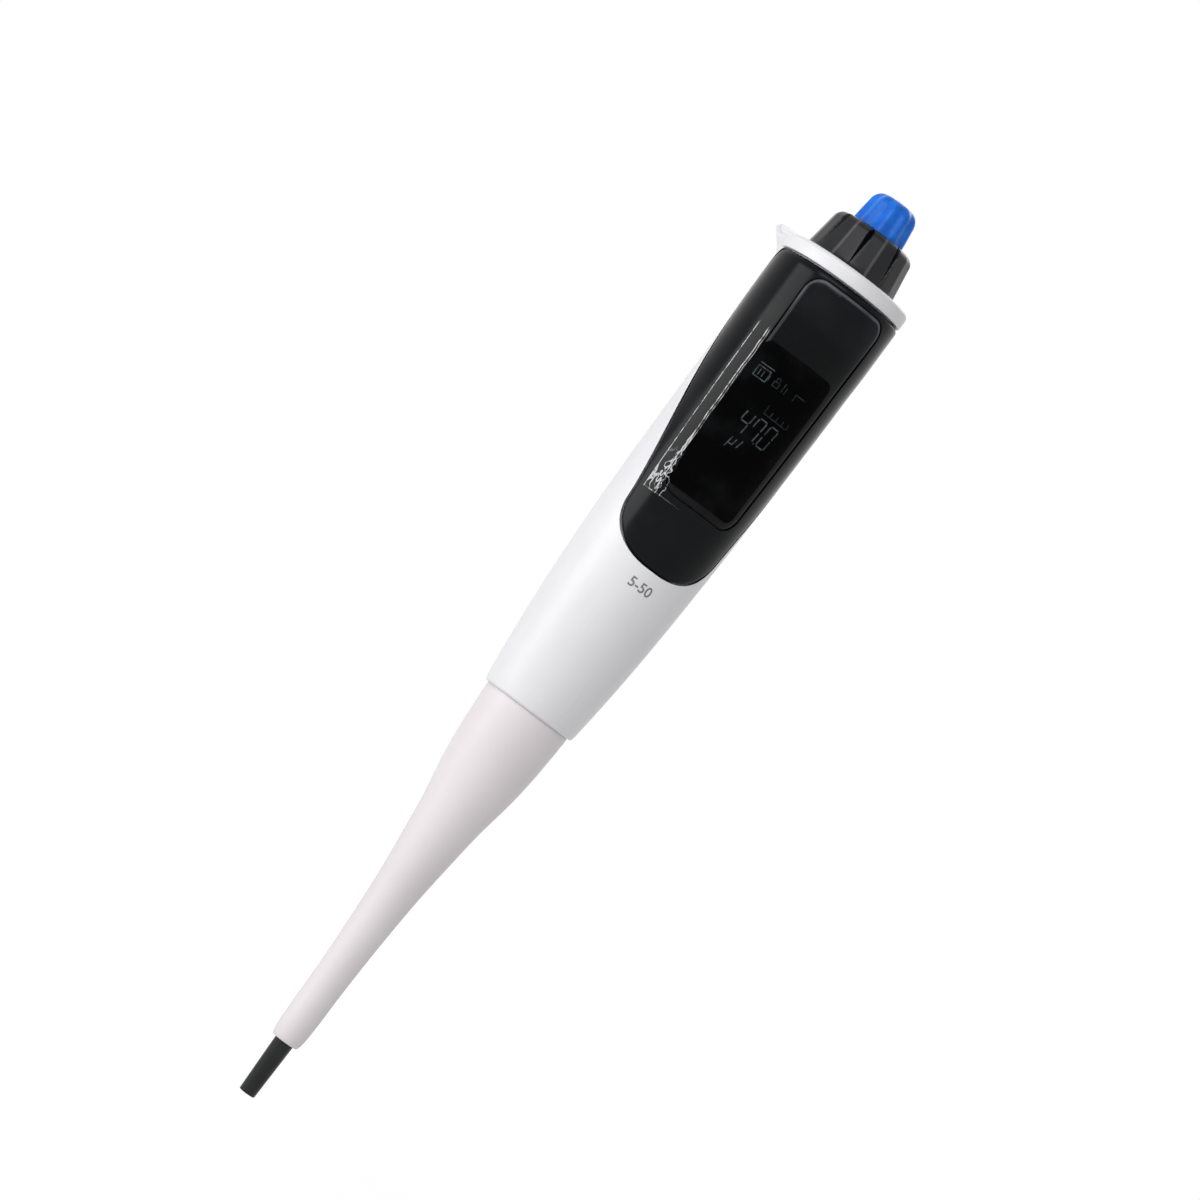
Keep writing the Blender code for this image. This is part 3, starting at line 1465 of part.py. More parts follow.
def make_ejector_button(parent, plastic):
    """A curved tab behind the dial, with a thumb pad turned back over the hook."""
    steps = 8
    half_angle = math.asin(PAD_HALF_WIDTH / PAD_OUTER_RADIUS)

    def tab(height):
        turns = [math.pi + half_angle * (2.0 * i / steps - 1.0) for i in range(steps + 1)]
        inner = [(PAD_INNER_RADIUS * math.sin(a), -PAD_INNER_RADIUS * math.cos(a)) for a in turns]
        outer = [(PAD_OUTER_RADIUS * math.sin(a), -PAD_OUTER_RADIUS * math.cos(a)) for a in turns]
        return [Vector((x, y, height)) for x, y in [*inner, *reversed(outer)]]

    top = pad_top()
    button = lofted("ejector_button", [tab(PAD_BASE), tab(top - GAP)], plastic, parent)
    cap = block(
        "ejector_cap",
        (-PAD_HALF_WIDTH, PAD_INNER_RADIUS, top - PAD_CAP_THICKNESS),
        (PAD_HALF_WIDTH, PAD_CAP_REACH, top),
        None,
        parent,
        bevel=0.0008,
    )
    unite(button, cap)


def build():
    clear_scene()
    white = finish("white plastic", (0.88, 0.87, 0.88), 0.35)
    black = finish("black gloss plastic", (0.012, 0.012, 0.014), 0.12)
    dark = finish("dark plastic", (0.03, 0.03, 0.035), 0.4)
    blue = finish("blue plastic", (0.01, 0.07, 0.62), 0.3)
    glass = finish("dark window", (0.01, 0.011, 0.013), 0.05)
    lcd = finish("display glass", (0.05, 0.06, 0.06), 0.1)
    green = finish("board", (0.02, 0.18, 0.06), 0.5)
    steel = finish("steel", (0.6, 0.6, 0.62), 0.3, 1.0)
    aluminium = finish("aluminium", (0.75, 0.76, 0.78), 0.35, 1.0)
    brass = finish("brass", (0.72, 0.52, 0.22), 0.3, 1.0)
    rubber = finish("rubber", (0.02, 0.02, 0.02), 0.8)
    ptfe = finish("seal white", (0.9, 0.9, 0.88), 0.5)
    ceramic = finish("ceramic", (0.93, 0.92, 0.88), 0.15)
    grey = finish("grey plastic", (0.3, 0.31, 0.33), 0.45)

    root = axis_empty("pipette")
    root.location.z = -HANG_HEIGHT
    housing = axis_empty("housing", root)
    dial = axis_empty("dial", root)
    stop = axis_empty("stop", dial)
    plunger = axis_empty("plunger", stop)
    ejector = axis_empty("ejector", root)

    make_back_shell(housing, white)
    make_front_cover(housing, black)
    make_display(housing, glass, lcd, grey, green, steel)
    make_code_reader(housing, dark)
    make_top_plate(housing, white)
    make_bearing_plate(housing, aluminium)
    make_chassis(housing, aluminium)
    make_nuts(housing, brass, grey)
    make_tip_cone(housing, dark)
    make_seals(housing, rubber, ptfe, aluminium)
    make_springs(housing, steel, grey)
    make_screws(housing, steel)

    make_volume_dial(dial, dark)
    make_dial_sleeve(dial, aluminium)
    make_code_disc(dial, steel)
    make_dial_retainer(dial, steel)
    make_stop_screw(stop, brass)
    make_push_button(plunger, blue)
    make_plunger(plunger, steel, grey, ceramic)

    make_ejector_sleeve(ejector, white)
    make_ejector_bar(ejector, steel)
    make_ejector_ring(ejector, grey)
    make_ejector_button(ejector, dark)


build()
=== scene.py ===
# %% [markdown]
# # Dressing a single-channel pipette
#
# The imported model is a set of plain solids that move. This lesson dresses it: finer surfaces for
# what the eye meets, a finish for every piece, a soft studio, and a camera. Lengths are in metres
# and +Z runs up the pipette's axis towards its button. The display faces -Y, the finger hook +Y.

# %% Load the frame
import json
import math

import bmesh
import bpy
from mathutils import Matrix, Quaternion, Vector


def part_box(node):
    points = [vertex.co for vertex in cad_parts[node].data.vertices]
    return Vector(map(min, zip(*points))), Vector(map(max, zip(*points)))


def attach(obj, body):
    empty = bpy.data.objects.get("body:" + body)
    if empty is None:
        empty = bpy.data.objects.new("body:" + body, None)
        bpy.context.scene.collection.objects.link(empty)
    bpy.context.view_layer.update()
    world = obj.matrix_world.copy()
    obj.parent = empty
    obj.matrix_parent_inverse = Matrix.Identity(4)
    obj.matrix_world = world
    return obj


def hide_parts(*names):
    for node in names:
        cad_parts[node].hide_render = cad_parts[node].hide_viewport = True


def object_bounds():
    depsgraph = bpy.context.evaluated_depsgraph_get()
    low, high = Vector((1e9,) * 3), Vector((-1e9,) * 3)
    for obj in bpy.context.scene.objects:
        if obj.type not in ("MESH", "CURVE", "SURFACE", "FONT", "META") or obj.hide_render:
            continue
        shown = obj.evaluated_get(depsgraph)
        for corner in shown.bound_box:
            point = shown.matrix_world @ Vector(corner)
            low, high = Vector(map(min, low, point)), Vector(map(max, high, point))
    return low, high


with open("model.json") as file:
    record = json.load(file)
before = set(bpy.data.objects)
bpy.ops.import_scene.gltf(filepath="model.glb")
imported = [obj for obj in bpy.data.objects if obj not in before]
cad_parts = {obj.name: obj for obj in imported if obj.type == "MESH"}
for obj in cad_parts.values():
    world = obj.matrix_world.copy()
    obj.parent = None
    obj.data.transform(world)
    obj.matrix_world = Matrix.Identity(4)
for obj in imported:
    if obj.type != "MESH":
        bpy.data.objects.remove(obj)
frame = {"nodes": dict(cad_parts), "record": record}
cad_low, cad_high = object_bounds()
print("solids:", len(frame["nodes"]), "height:", round((cad_high.z - cad_low.z) * 1000.0, 1), "mm")

# %% [markdown]
# ## The camera
#
# The photograph was taken from the front, a little from the left, with a long lens: edges that are
# parallel on the pipette stay almost parallel. The pipette leans to the right in the picture. It
# could be tipped over itself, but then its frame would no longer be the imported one. So the camera
# is rolled the other way instead, about its own line of sight. The lamps will be placed by the
# same two helpers.


# %% Placing a camera or a lamp
def outward(azimuth, elevation):
    """A direction away from the axis, from two angles. Azimuth 0 is in front of the display."""
    return Vector(
        (
            math.sin(azimuth) * math.cos(elevation),
            -math.cos(azimuth) * math.cos(elevation),
            math.sin(elevation),
        )
    )


def look_at(thing, target, away, distance, roll=0.0):
    """Stands a camera or lamp away from a target, turned to it and rolled about its sight."""
    bpy.context.collection.objects.link(thing)
    thing.location = target + away * distance
    thing.rotation_mode = "QUATERNION"
    facing = (-away).to_track_quat("-Z", "Y")
    thing.rotation_quaternion = facing @ Quaternion((0.0, 0.0, 1.0), roll)


print("helpers: outward, look_at")

# %% Camera
TURN = math.radians(-15.5)
CLIMB = math.radians(-1.5)
LEAN = math.radians(36.3)
DISTANCE = 1.21
FOCAL_LENGTH = 158.0
SENSOR_WIDTH = 36.0
AIM_ASIDE = -0.0016
AIM_HEIGHT = -0.087

camera = bpy.data.objects.new("camera", bpy.data.cameras.new("camera"))
camera.data.lens = FOCAL_LENGTH
camera.data.sensor_width = SENSOR_WIDTH
aim = Vector((AIM_ASIDE * math.cos(TURN), AIM_ASIDE * math.sin(TURN), AIM_HEIGHT))
look_at(camera, aim, outward(TURN, CLIMB), DISTANCE, LEAN)
bpy.context.scene.camera = camera
bpy.context.scene.view_settings.view_transform = "Standard"
print("camera at", [round(value, 3) for value in camera.location])

# %% [markdown]
# ## Shader maths as arithmetic
#
# A finish is a graph of nodes, and most of them are sums. Linking them by hand hides the formula.
# So a small class wraps an output socket and gives it the usual operators: `0.4 + 0.1 * grain` then
# adds the Math nodes by itself. Everything that isn't a sum comes from one method, which takes the
# node's type, its settings and what goes into its sockets.


# %% Wire: an output socket that behaves like a number
class Wire:
    """An output socket of a graph, usable in arithmetic."""

    def __init__(self, graph, socket):
        self.graph = graph
        self.socket = socket

    def __add__(self, other):
        return self.graph.maths("ADD", self, other)

    def __radd__(self, other):
        return self.graph.maths("ADD", other, self)

    def __sub__(self, other):
        return self.graph.maths("SUBTRACT", self, other)

    def __rsub__(self, other):
        return self.graph.maths("SUBTRACT", other, self)

    def __mul__(self, other):
        return self.graph.maths("MULTIPLY", self, other)

    def __rmul__(self, other):
        return self.graph.maths("MULTIPLY", other, self)

    def __pow__(self, other):
        return self.graph.maths("POWER", self, other)

    def __rpow__(self, other):
        return self.graph.maths("POWER", other, self)

    def __neg__(self):
        return 0.0 - self

    def __abs__(self):
        return self.graph.maths("ABSOLUTE", self)


print("operators:", "+ - * ** and abs")


# %% Graph and Finish: node trees being made
class Graph:
    """A node tree: maths() adds a Math node, node() any node, and both give back an output."""

    def __init__(self, tree):
        self.tree = tree

    def feed(self, socket, value):
        if isinstance(value, Wire):
            self.tree.links.new(value.socket, socket)
        else:
            socket.default_value = value

    def node(self, kind, settings=None, inputs=None, output=0):
        made = self.tree.nodes.new(kind)
        for key, value in (settings or {}).items():
            setattr(made, key, value)
        for key, value in (inputs or {}).items():
            self.feed(made.inputs[key], value)
        return Wire(self, made.outputs[output])

    def maths(self, operation, first, second=0.0):
        return self.node("ShaderNodeMath", {"operation": operation}, {0: first, 1: second})


class Finish(Graph):
    """A material's node tree. surface() sets the sockets of its shader."""

    def __init__(self, name):
        self.material = bpy.data.materials.new(name)
        self.material.use_nodes = True
        super().__init__(self.material.node_tree)

    def surface(self, **sockets):
        shader = self.tree.nodes["Principled BSDF"]
        for name, value in sockets.items():
            self.feed(shader.inputs[name.replace("_", " ")], value)
        return self.material


print("a finish starts from the Principled shader")

# %% [markdown]
# ## Marks that every moulded or turned piece shares
#
# Real plastic is never one flat colour. It has a cloudy variation some centimetres wide, a grain
# of a tenth of a millimetre from the spark-eroded mould, and fine handling marks. Each of these is
# one noise at its own scale. Object coordinates carry them, because they are metres on the piece
# itself and stay with it when it moves.


# %% Noise, colour blends and bumps
def spot(graph):
    """The place on the piece, in metres."""
    return graph.node("ShaderNodeTexCoord", output="Object")


def noise(finish, size, detail, stretch=(1.0, 1.0, 1.0)):
    """A cloudy value from 0 to 1 whose lumps are about size metres across."""
    place = finish.node(
        "ShaderNodeVectorMath", {"operation": "MULTIPLY"}, {0: spot(finish), 1: stretch}
    )
    return finish.node(
        "ShaderNodeTexNoise", {}, {"Vector": place, "Scale": 1.0 / size, "Detail": detail}
    )


def step_up(finish, value, low, high):
    """0 below low, 1 above high and smooth between."""
    return finish.node(
        "ShaderNodeMapRange",
        {"interpolation_type": "SMOOTHSTEP"},
        {"Value": value, "From Min": low, "From Max": high},
    )


def patches(finish, size, detail, low, high, stretch=(1.0, 1.0, 1.0)):
    """1 in scattered patches about size metres across, and 0 between them."""
    return step_up(finish, noise(finish, size, detail, stretch), low, high)


def blend(finish, mask, first, second):
    """The first colour where mask is 0, the second where it is 1."""
    return finish.node(
        "ShaderNodeMix", {"data_type": "RGBA"}, {0: mask, 6: first, 7: second}, output=2
    )


def bump(finish, height, depth, strength):
    """A normal from a height of 0 to 1, worth depth metres."""
    return finish.node(
        "ShaderNodeBump", {}, {"Height": height, "Distance": depth, "Strength": strength}
    )


def rgb(red, green, blue):
    return (red, green, blue, 1.0)


print("marks: noise, patches, bumps")

# %% [markdown]
# ## White plastics
#
# The handle is moulded in a cool white and the sleeve over the cone in a slightly warmer one. Both
# are satin: a sharp highlight would look like glass, and none at all like chalk. The roughness
# wanders a little with the grain, and faint rubbed streaks run along the axis.

# %% White finishes
PLASTIC_IOR = 1.5


def white_plastic(name, light, shade, roughness):
    finish = Finish(name)
    grain = noise(finish, 0.00016, 2.0)
    streaks = noise(finish, 0.0012, 4.0, (1.0, 1.0, 0.08))
    rubbed = step_up(finish, streaks, 0.55, 0.75)
    tone = blend(finish, patches(finish, 0.030, 3.0, 0.35, 0.65), light, shade)
    return finish.surface(
        Base_Color=blend(finish, 0.25 * rubbed, tone, rgb(0.72, 0.71, 0.71)),
        Roughness=roughness + 0.06 * grain - 0.07 * rubbed,
        Normal=bump(finish, 0.7 * grain + 0.3 * streaks, 0.000012, 0.6),
        IOR=PLASTIC_IOR,
    )


shell_white = white_plastic(
    "shell white", rgb(0.80, 0.795, 0.815), rgb(0.77, 0.765, 0.79), 0.36
)
sleeve_white = white_plastic(
    "sleeve white", rgb(0.80, 0.748, 0.768), rgb(0.77, 0.718, 0.742), 0.42
)
print("white finishes:", shell_white.name, sleeve_white.name)

# %% [markdown]
# ## Black and blue plastics
#
# The front cover is polished black. Its base colour hardly matters: what shows is the reflection,
# and what keeps it real is what disturbs it, so hairline scratches change the roughness and the
# normal. A low specular level keeps the white surroundings from turning it grey. The nozzle is
# the same black with a grained, satin skin, worn paler in places. The button is dyed royal blue
# right through, a shade lighter in its clouds.

# %% Black finishes
DIM_GLOSS = 0.10
SATIN_GLOSS = 0.25


def gloss_black(name, colour, roughness, gloss=DIM_GLOSS):
    finish = Finish(name)
    hairs = patches(finish, 0.00035, 3.0, 0.64, 0.72, (1.0, 1.0, 0.03))
    cross = patches(finish, 0.0005, 3.0, 0.66, 0.74, (0.05, 1.0, 1.0))
    scratched = hairs + 0.6 * cross
    smear = patches(finish, 0.012, 3.0, 0.45, 0.7)
    return finish.surface(
        Base_Color=blend(finish, 0.4 * smear, colour, rgb(0.009, 0.0095, 0.0105)),
        Roughness=roughness + 0.06 * smear + 0.08 * scratched,
        Normal=bump(finish, scratched, 0.000004, 0.35),
        IOR=PLASTIC_IOR,
        Specular_IOR_Level=gloss,
    )


def satin_black(name, colour, wear_and_highlight_colour, roughness):
    finish = Finish(name)
    grain = noise(finish, 0.00022, 3.0)
    cloud = noise(finish, 0.006, 3.0)
    wear_and_highlight = step_up(finish, 0.65 * cloud + 0.35 * grain, 0.50, 0.68)
    return finish.surface(
        Base_Color=blend(finish, wear_and_highlight, colour, wear_and_highlight_colour),
        Roughness=roughness + 0.12 * grain - 0.08 * wear_and_highlight,
        Normal=bump(finish, grain, 0.00002, 0.5),
        IOR=PLASTIC_IOR,
        Specular_IOR_Level=SATIN_GLOSS,
    )


cover_black = gloss_black("cover black", rgb(0.0025, 0.003, 0.004), 0.17)
cone_black = satin_black("cone black", rgb(0.008, 0.0084, 0.009), rgb(0.013, 0.0135, 0.0145), 0.36)
dark_plastic = satin_black("dark plastic", rgb(0.02, 0.02, 0.022), rgb(0.03, 0.03, 0.033), 0.42)
print("black finishes:", cover_black.name, cone_black.name, dark_plastic.name)


# %% Blue finish
def dyed_blue(name):
    finish = Finish(name)
    cloud = patches(finish, 0.004, 3.0, 0.35, 0.7)
    grain = noise(finish, 0.0002, 2.0)
    return finish.surface(
        Base_Color=blend(finish, cloud, rgb(0.006, 0.125, 0.62), rgb(0.012, 0.18, 0.74)),
        Roughness=0.24 + 0.10 * grain,
        Normal=bump(finish, grain, 0.000012, 0.4),
        IOR=PLASTIC_IOR,
        Specular_IOR_Level=0.18,
    )


button_blue = dyed_blue("button blue")
print("blue finish:", button_blue.name)

# %% [markdown]
# ## Rings and skins
#
# Nearly every piece is a stack of closed rings round the axis: each ring is a list of points, and
# quads join it to the next. That is a loft. It could be drawn as a curve with a Screw modifier,
# but a ring may also be lobed, as on the dial, or pulled out into a hook, as on the handle.


# %% Points and rings
def even(count):
    """Angles all the way round."""
    return [2.0 * math.pi * i / count for i in range(count)]


def between(low, high, count):
    """Numbers from low to high in count equal steps."""
    return [low + (high - low) * i / count for i in range(count + 1)]


def point_at(angle, radius, height):
    """A point round the axis. Angle 0 faces -Y, where the display is."""
    return Vector((radius * math.sin(angle), -radius * math.cos(angle), height))


def ring(radius_at, height, angles):
    """A ring whose radius may change with the angle."""
    return [point_at(angle, radius_at(angle), height) for angle in angles]


def circle(radius, height, angles):
    """A ring with one radius all round."""
    return [point_at(angle, radius, height) for angle in angles]


print("helpers: even, between, ring, circle")

# %% Loft and turned body
SHARP = math.radians(35.0)


def bridge(form, low, high):
    """Quads between two rows of equal length."""
    for i in range(len(low) - 1):
        form.faces.new((low[i], low[i + 1], high[i + 1], high[i]))


def piece_from(name, form):
    """An object of the bmesh, faces outwards, smooth up to the sharp angle."""
    bmesh.ops.recalc_face_normals(form, faces=form.faces[:])
    mesh = bpy.data.meshes.new(name)
    form.to_mesh(mesh)
    form.free()
    mesh.shade_smooth()
    mesh.set_sharp_from_angle(angle=SHARP)
    piece = bpy.data.objects.new(name, mesh)
    bpy.context.collection.objects.link(piece)
    return piece


def loft(name, rings, loop=True):
    """A closed skin over rings of equal length. With loop, the last ring joins the first."""
    form = bmesh.new()
    rows = [[form.verts.new(point) for point in points] for points in rings]
    pairs = list(zip(rows, rows[1:]))
    if loop:
        pairs.append((rows[-1], rows[0]))
    for low, high in pairs:
        bridge(form, low + low[:1], high + high[:1])
    if not loop:
        form.faces.new(rows[0])
        form.faces.new(rows[-1])
    return piece_from(name, form)


def turn(name, outline, steps):
    """A body of revolution from a closed outline of (radius, height) points."""
    return loft(name, [circle(radius, height, even(steps)) for radius, height in outline])


print("helpers: loft, turn; sharp above", round(math.degrees(SHARP)), "degrees")


# %% Dressing a piece
def dress(piece, body, material, slot, *nodes):
    """Gives a piece its finish and its place in the frame."""
    piece.data.materials.clear()
    piece.data.materials.append(material)
    if nodes:
        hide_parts(*nodes)
    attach(piece, body)
    print(piece.name + ":", len(piece.data.polygons), "faces, on the", body)


print("helper: dress")

# %% [markdown]
# A moulded edge is never sharp. On an outline of (radius, height) points, each corner that has a
# rounding is replaced by points along a small arc, drawn as a quadratic curve between the two
# places where the rounding starts. That is cheaper and tidier than a Bevel on the finished mesh.


# %% Rounded outlines
def rounded(corners, steps=5):
    """A closed outline from (radius, height, rounding) corners."""
    outline = []
    count = len(corners)
    for i, (radius, height, rounding) in enumerate(corners):
        here = Vector((radius, height))
        if not rounding:
            outline.append((radius, height))
            continue
        before = Vector(corners[i - 1][:2])
        after = Vector(corners[(i + 1) % count][:2])
        start = here + (before - here).normalized() * rounding
        end = here + (after - here).normalized() * rounding
        for share in between(0.0, 1.0, steps):
            point = start.lerp(here, share).lerp(here.lerp(end, share), share)
            outline.append((point.x, point.y))
    return outline


square = [(1.0, 0.0, 0.2), (2.0, 0.0, 0.2), (2.0, 1.0, 0.2), (1.0, 1.0, 0.2)]
print("a rounded square has", len(rounded(square)), "points")


# %% Easing and rounding in numbers
def clamp(value):
    return min(max(value, 0.0), 1.0)


def ease(value):
    value = clamp(value)
    return value * value * (3.0 - 2.0 * value)


def smooth_max(first, second, width):
    part = max(width - abs(first - second), 0.0) / width
    return max(first, second) + part * part * width / 4.0


def round_off(distance, radius):
    """How far a rounded edge has drawn back, at a distance from the end it rounds."""
    left = radius - min(max(distance, 0.0), radius)
    return radius - math.sqrt(max(radius**2 - left**2, 0.0))


def bend(first, last, step):
    """Shares of a quarter circle's run. They crowd at its start, where it turns away fastest."""
    return [1.0 - math.cos(math.radians(degrees)) for degrees in range(first, last, step)]


print("a 1 mm rounding has drawn back", round(round_off(0.0005, 0.001) * 1000.0, 3), "mm halfway")

# %% [markdown]
# ## The handle's form
#
# The handle's white back and its black front share one outer form: a round grip that widens from
# its mouth upwards, and steps out a little at the shoulder. Near the top its back flares into the
# finger hook, a rounded tongue. The hook is described by how far its edge lies from the axis at
# each angle, and the grip melts into it over the last centimetre.

# %% Grip
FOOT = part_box("back_shell")[0].z
TOP = FOOT + 0.1203
WALL = 0.0018
GRIP_RADIUS = 0.01584
MOUTH_LESS = 0.00364
TAPER_RISE = 0.074
SHOULDER_STEP = 0.0002
SHOULDER_DROP = 0.0227
SHOULDER_RISE = 0.012
SWELL = 0.0028
SWELL_DROP = 0.0890
SWELL_RISE = 0.0720
SWELL_BLEND = 0.6


def grip(height):
    """Radius of the round grip, before its front swells."""
    rise = clamp((height - FOOT) / TAPER_RISE)
    shoulder = ease((height - TOP + SHOULDER_DROP) / SHOULDER_RISE)
    return GRIP_RADIUS - MOUTH_LESS * (1.0 - rise) ** 2.5 + SHOULDER_STEP * shoulder


def front(angle, height):
    """Radius of the grip at an angle: its front swells forwards round the display."""
    rise = ease((height - TOP + SWELL_DROP) / SWELL_RISE)
    return grip(height) + SWELL * rise * smooth_max(math.cos(angle), 0.0, SWELL_BLEND)


print("grip is", round(grip(TOP) * 2000.0, 1), "mm across at its top")

# %% Hook and skin
HOOK_REACH = 0.0260
HOOK_SIDE = 0.0150
HOOK_CORNER = 0.0060
HOOK_BLEND = 0.0012
FLARE_DROP = 0.0097
FLARE_RISE = 0.0135


def hook_edge(angle):
    """How far the hook's edge lies from the axis: a tongue with two round corners."""
    back = abs(math.pi - angle)
    if back > math.pi / 2.0:
        return HOOK_SIDE
    side = HOOK_SIDE / max(math.sin(back), 0.01)
    end = HOOK_REACH / max(math.cos(back), 0.01)
    corner_x = HOOK_SIDE - HOOK_CORNER
    corner_y = HOOK_REACH - HOOK_CORNER
    if end * math.sin(back) < corner_x:
        return end
    if side * math.cos(back) < corner_y:
        return side
    along = corner_x * math.sin(back) + corner_y * math.cos(back)
    across = corner_x * math.cos(back) - corner_y * math.sin(back)
    return along + math.sqrt(max(HOOK_CORNER**2 - across**2, 0.0))


def skin(angle, height):
    """Outer surface of the handle at an angle round the axis and a height."""
    flare = clamp((height - TOP + FLARE_DROP) / FLARE_RISE) ** 1.8
    plain = front(angle, height)
    return plain + flare * (smooth_max(plain, hook_edge(angle), HOOK_BLEND) - plain)


print("hook reaches", round(skin(math.pi, TOP) * 1000.0, 1), "mm from the axis at the top")

# %% [markdown]
# The front cover is a tongue that widens upwards. Its edge is given as the angle that half of it
# takes up at each height, with round corners at the foot and the top. The same rule, widened by
# the seam, cuts the opening in the white back, so the gap between the two stays even all round.

# %% Cover outline
COVER_FOOT = TOP - 0.0781
COVER_SPREAD = 0.0500
FOOT_DEGREES = 56.0
MORE_DEGREES = 44.0
CORNER_RISE = 0.0110
CORNER_RUN = 0.0138
TOP_CORNER = 0.0075
SEAM = 0.0003


def cover_half(height):
    """The angle that half the cover takes up."""
    rise = clamp((height - COVER_FOOT - CORNER_RISE) / COVER_SPREAD)
    wrap = math.radians(FOOT_DEGREES + MORE_DEGREES * rise**1.5)
    lost = round_off(height - COVER_FOOT, CORNER_RISE) * CORNER_RUN / CORNER_RISE
    lost += round_off(TOP - height, TOP_CORNER)
    return wrap - lost / grip(height)


def opening_half(height):
    """The same for the opening in the white back, which is wider by the seam."""
    return max(cover_half(height + SEAM), cover_half(height - SEAM)) + SEAM / grip(height)


print("cover wraps", round(math.degrees(cover_half(TOP)) * 2.0), "degrees at its top")

# %% [markdown]
# The cover and the window are patches: curved plates with an outer and an inner skin, and a rim
# that joins them. A patch that stands out of the surface also serves as a cutter, and a Boolean
# with it keeps an opening exactly as far from its neighbour as the numbers say.

# %% Curved patches
PROUD = 0.002


def patch(name, heights, half_angle, outer, inner, columns):
    """A curved plate on the grip's front. outer and inner give a radius at (angle, height)."""
    form = bmesh.new()
    skins = []
    for radius_at in (outer, inner):
        rows = []
        for height in heights:
            angles = [half_angle(height) * share for share in columns]
            points = ring(lambda angle: radius_at(angle, height), height, angles)
            rows.append([form.verts.new(point) for point in points])
        skins.append(rows)
        for low, high in zip(rows, rows[1:]):
            bridge(form, low, high)
    outside, inside = skins
    last = len(columns) - 1
    for i in range(last):
        for end in (0, -1):
            form.faces.new(
                (outside[end][i], outside[end][i + 1], inside[end][i + 1], inside[end][i])
            )
    for i in range(len(heights) - 1):
        for side in (0, last):
            form.faces.new(
                (outside[i][side], outside[i + 1][side], inside[i + 1][side], inside[i][side])
            )
    return piece_from(name, form)


def cut(piece, cutter):
    """Takes the cutter out of the piece for good, and removes the cutter."""
    boolean = piece.modifiers.new("cut", "BOOLEAN")
    boolean.operation = "DIFFERENCE"
    boolean.solver = "EXACT"
    boolean.object = cutter
    bpy.context.view_layer.update()
    cut_mesh = bpy.data.meshes.new_from_object(
        piece.evaluated_get(bpy.context.evaluated_depsgraph_get())
    )
    piece.modifiers.clear()
    piece.data = cut_mesh
    cut_mesh.set_sharp_from_angle(angle=SHARP)
    bpy.data.objects.remove(cutter, do_unlink=True)
    return piece


print("helpers: patch, cut")

# %% [markdown]
# ## The white back
#
# Rings of the outer skin run from the mouth to the top, then rings of the inner skin run back
# down, and the last joins the first. The mouth's lip is rounded, because that edge catches the
# light above the sleeve. The opening for the cover is then cut out of it, and so is a slot for the
# stem of the ejector's button, as deep as its stroke takes it.

# %% Ejector slot
# The button's box can't give the back of its stem, because its pad reaches further back.
STEM_BACK = 0.0152
STEM_ROOM = 0.0004
STEM_FRONT_ROOM = 0.0005
EJECT_ROOM = 0.0086
CUT_OVER = 0.001


def ejector_slot():
    """A block round the stem of the ejector's button, down to where its stroke takes it."""
    low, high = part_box("ejector_button")
    half = high.x + STEM_ROOM
    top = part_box("top_plate")[1].z + CUT_OVER
    form = bmesh.new()
    bmesh.ops.create_cube(form, size=1.0)
    for vert in form.verts:
        vert.co.x = half if vert.co.x > 0.0 else -half
        vert.co.y = STEM_BACK + STEM_ROOM if vert.co.y > 0.0 else low.y - STEM_FRONT_ROOM
        vert.co.z = top if vert.co.z > 0.0 else low.z - EJECT_ROOM
    return piece_from("ejector_slot", form)


print("ejector slot reaches", EJECT_ROOM * 1000.0, "mm below the button's stem")

# %% Handle back
LIP = 0.0006
LIP_SHARES = (0.0, 0.12, 0.3, 0.55, 0.8)
SLEEVE_ROOM = 0.0004


def make_back():
    angles = even(160)
    rings = []
    for share in LIP_SHARES:
        height = FOOT + LIP * share
        drawn = round_off(LIP * share, LIP)
        rings.append(ring(lambda a: skin(a, height) - drawn, height, angles))
    flare_foot = TOP - FLARE_DROP
    for height in between(FOOT + LIP, flare_foot, 60) + between(flare_foot, TOP, 14)[1:]:
        rings.append(ring(lambda a: skin(a, height), height, angles))
    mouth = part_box("ejector_sleeve")[1].x + SLEEVE_ROOM
    for height in reversed(between(FOOT, TOP, 40)):
        rings.append(ring(lambda a: max(skin(a, height) - WALL, mouth), height, angles))
    return loft("handle_back", rings)


def make_opening():
    shares = bend(0, 90, 6)
    heights = [COVER_FOOT - SEAM + CORNER_RISE * share for share in shares]
    heights += between(COVER_FOOT + CORNER_RISE, TOP - TOP_CORNER, 40)
    heights += [TOP + SEAM - TOP_CORNER * share for share in reversed(shares)]
    return patch(
        "opening",
        heights + [TOP + CUT_OVER],
        opening_half,
        lambda a, h: front(a, h) + PROUD,
        lambda a, h: front(a, h) - 2.0 * WALL,
        between(-1.0, 1.0, 60),
    )


handle_back = cut(cut(make_back(), make_opening()), ejector_slot())
dress(handle_back, "housing", shell_white, "shell_white", "back_shell")

# %% [markdown]
# ## The black cover
#
# The cover's edge is rolled over all round. Its outer radius drops by a quarter circle near the
# edge, so each point needs its distance from the edge: to the side, to the foot, or to the round
# corner, whichever is least. Columns and rows crowd near the edge, where the roll needs them.

# %% Cover and window outlines
EDGE_ROLL = 0.0006
TOP_ROLL = 0.0012
LENS_TOP = TOP - 0.0016
LENS_FOOT = LENS_TOP - 0.0600
LENS_SIDE = 0.0121
LENS_NARROWING = 0.0010
LENS_SEAM = 0.00004
LENS_CORNER = 0.0045
LENS_THICKNESS = 0.0007
LENS_SUNK = 0.00012
LENS_CROWN = 0.0018
LENS_FALL = 0.0003
RECESS_DEPTH = 0.0011


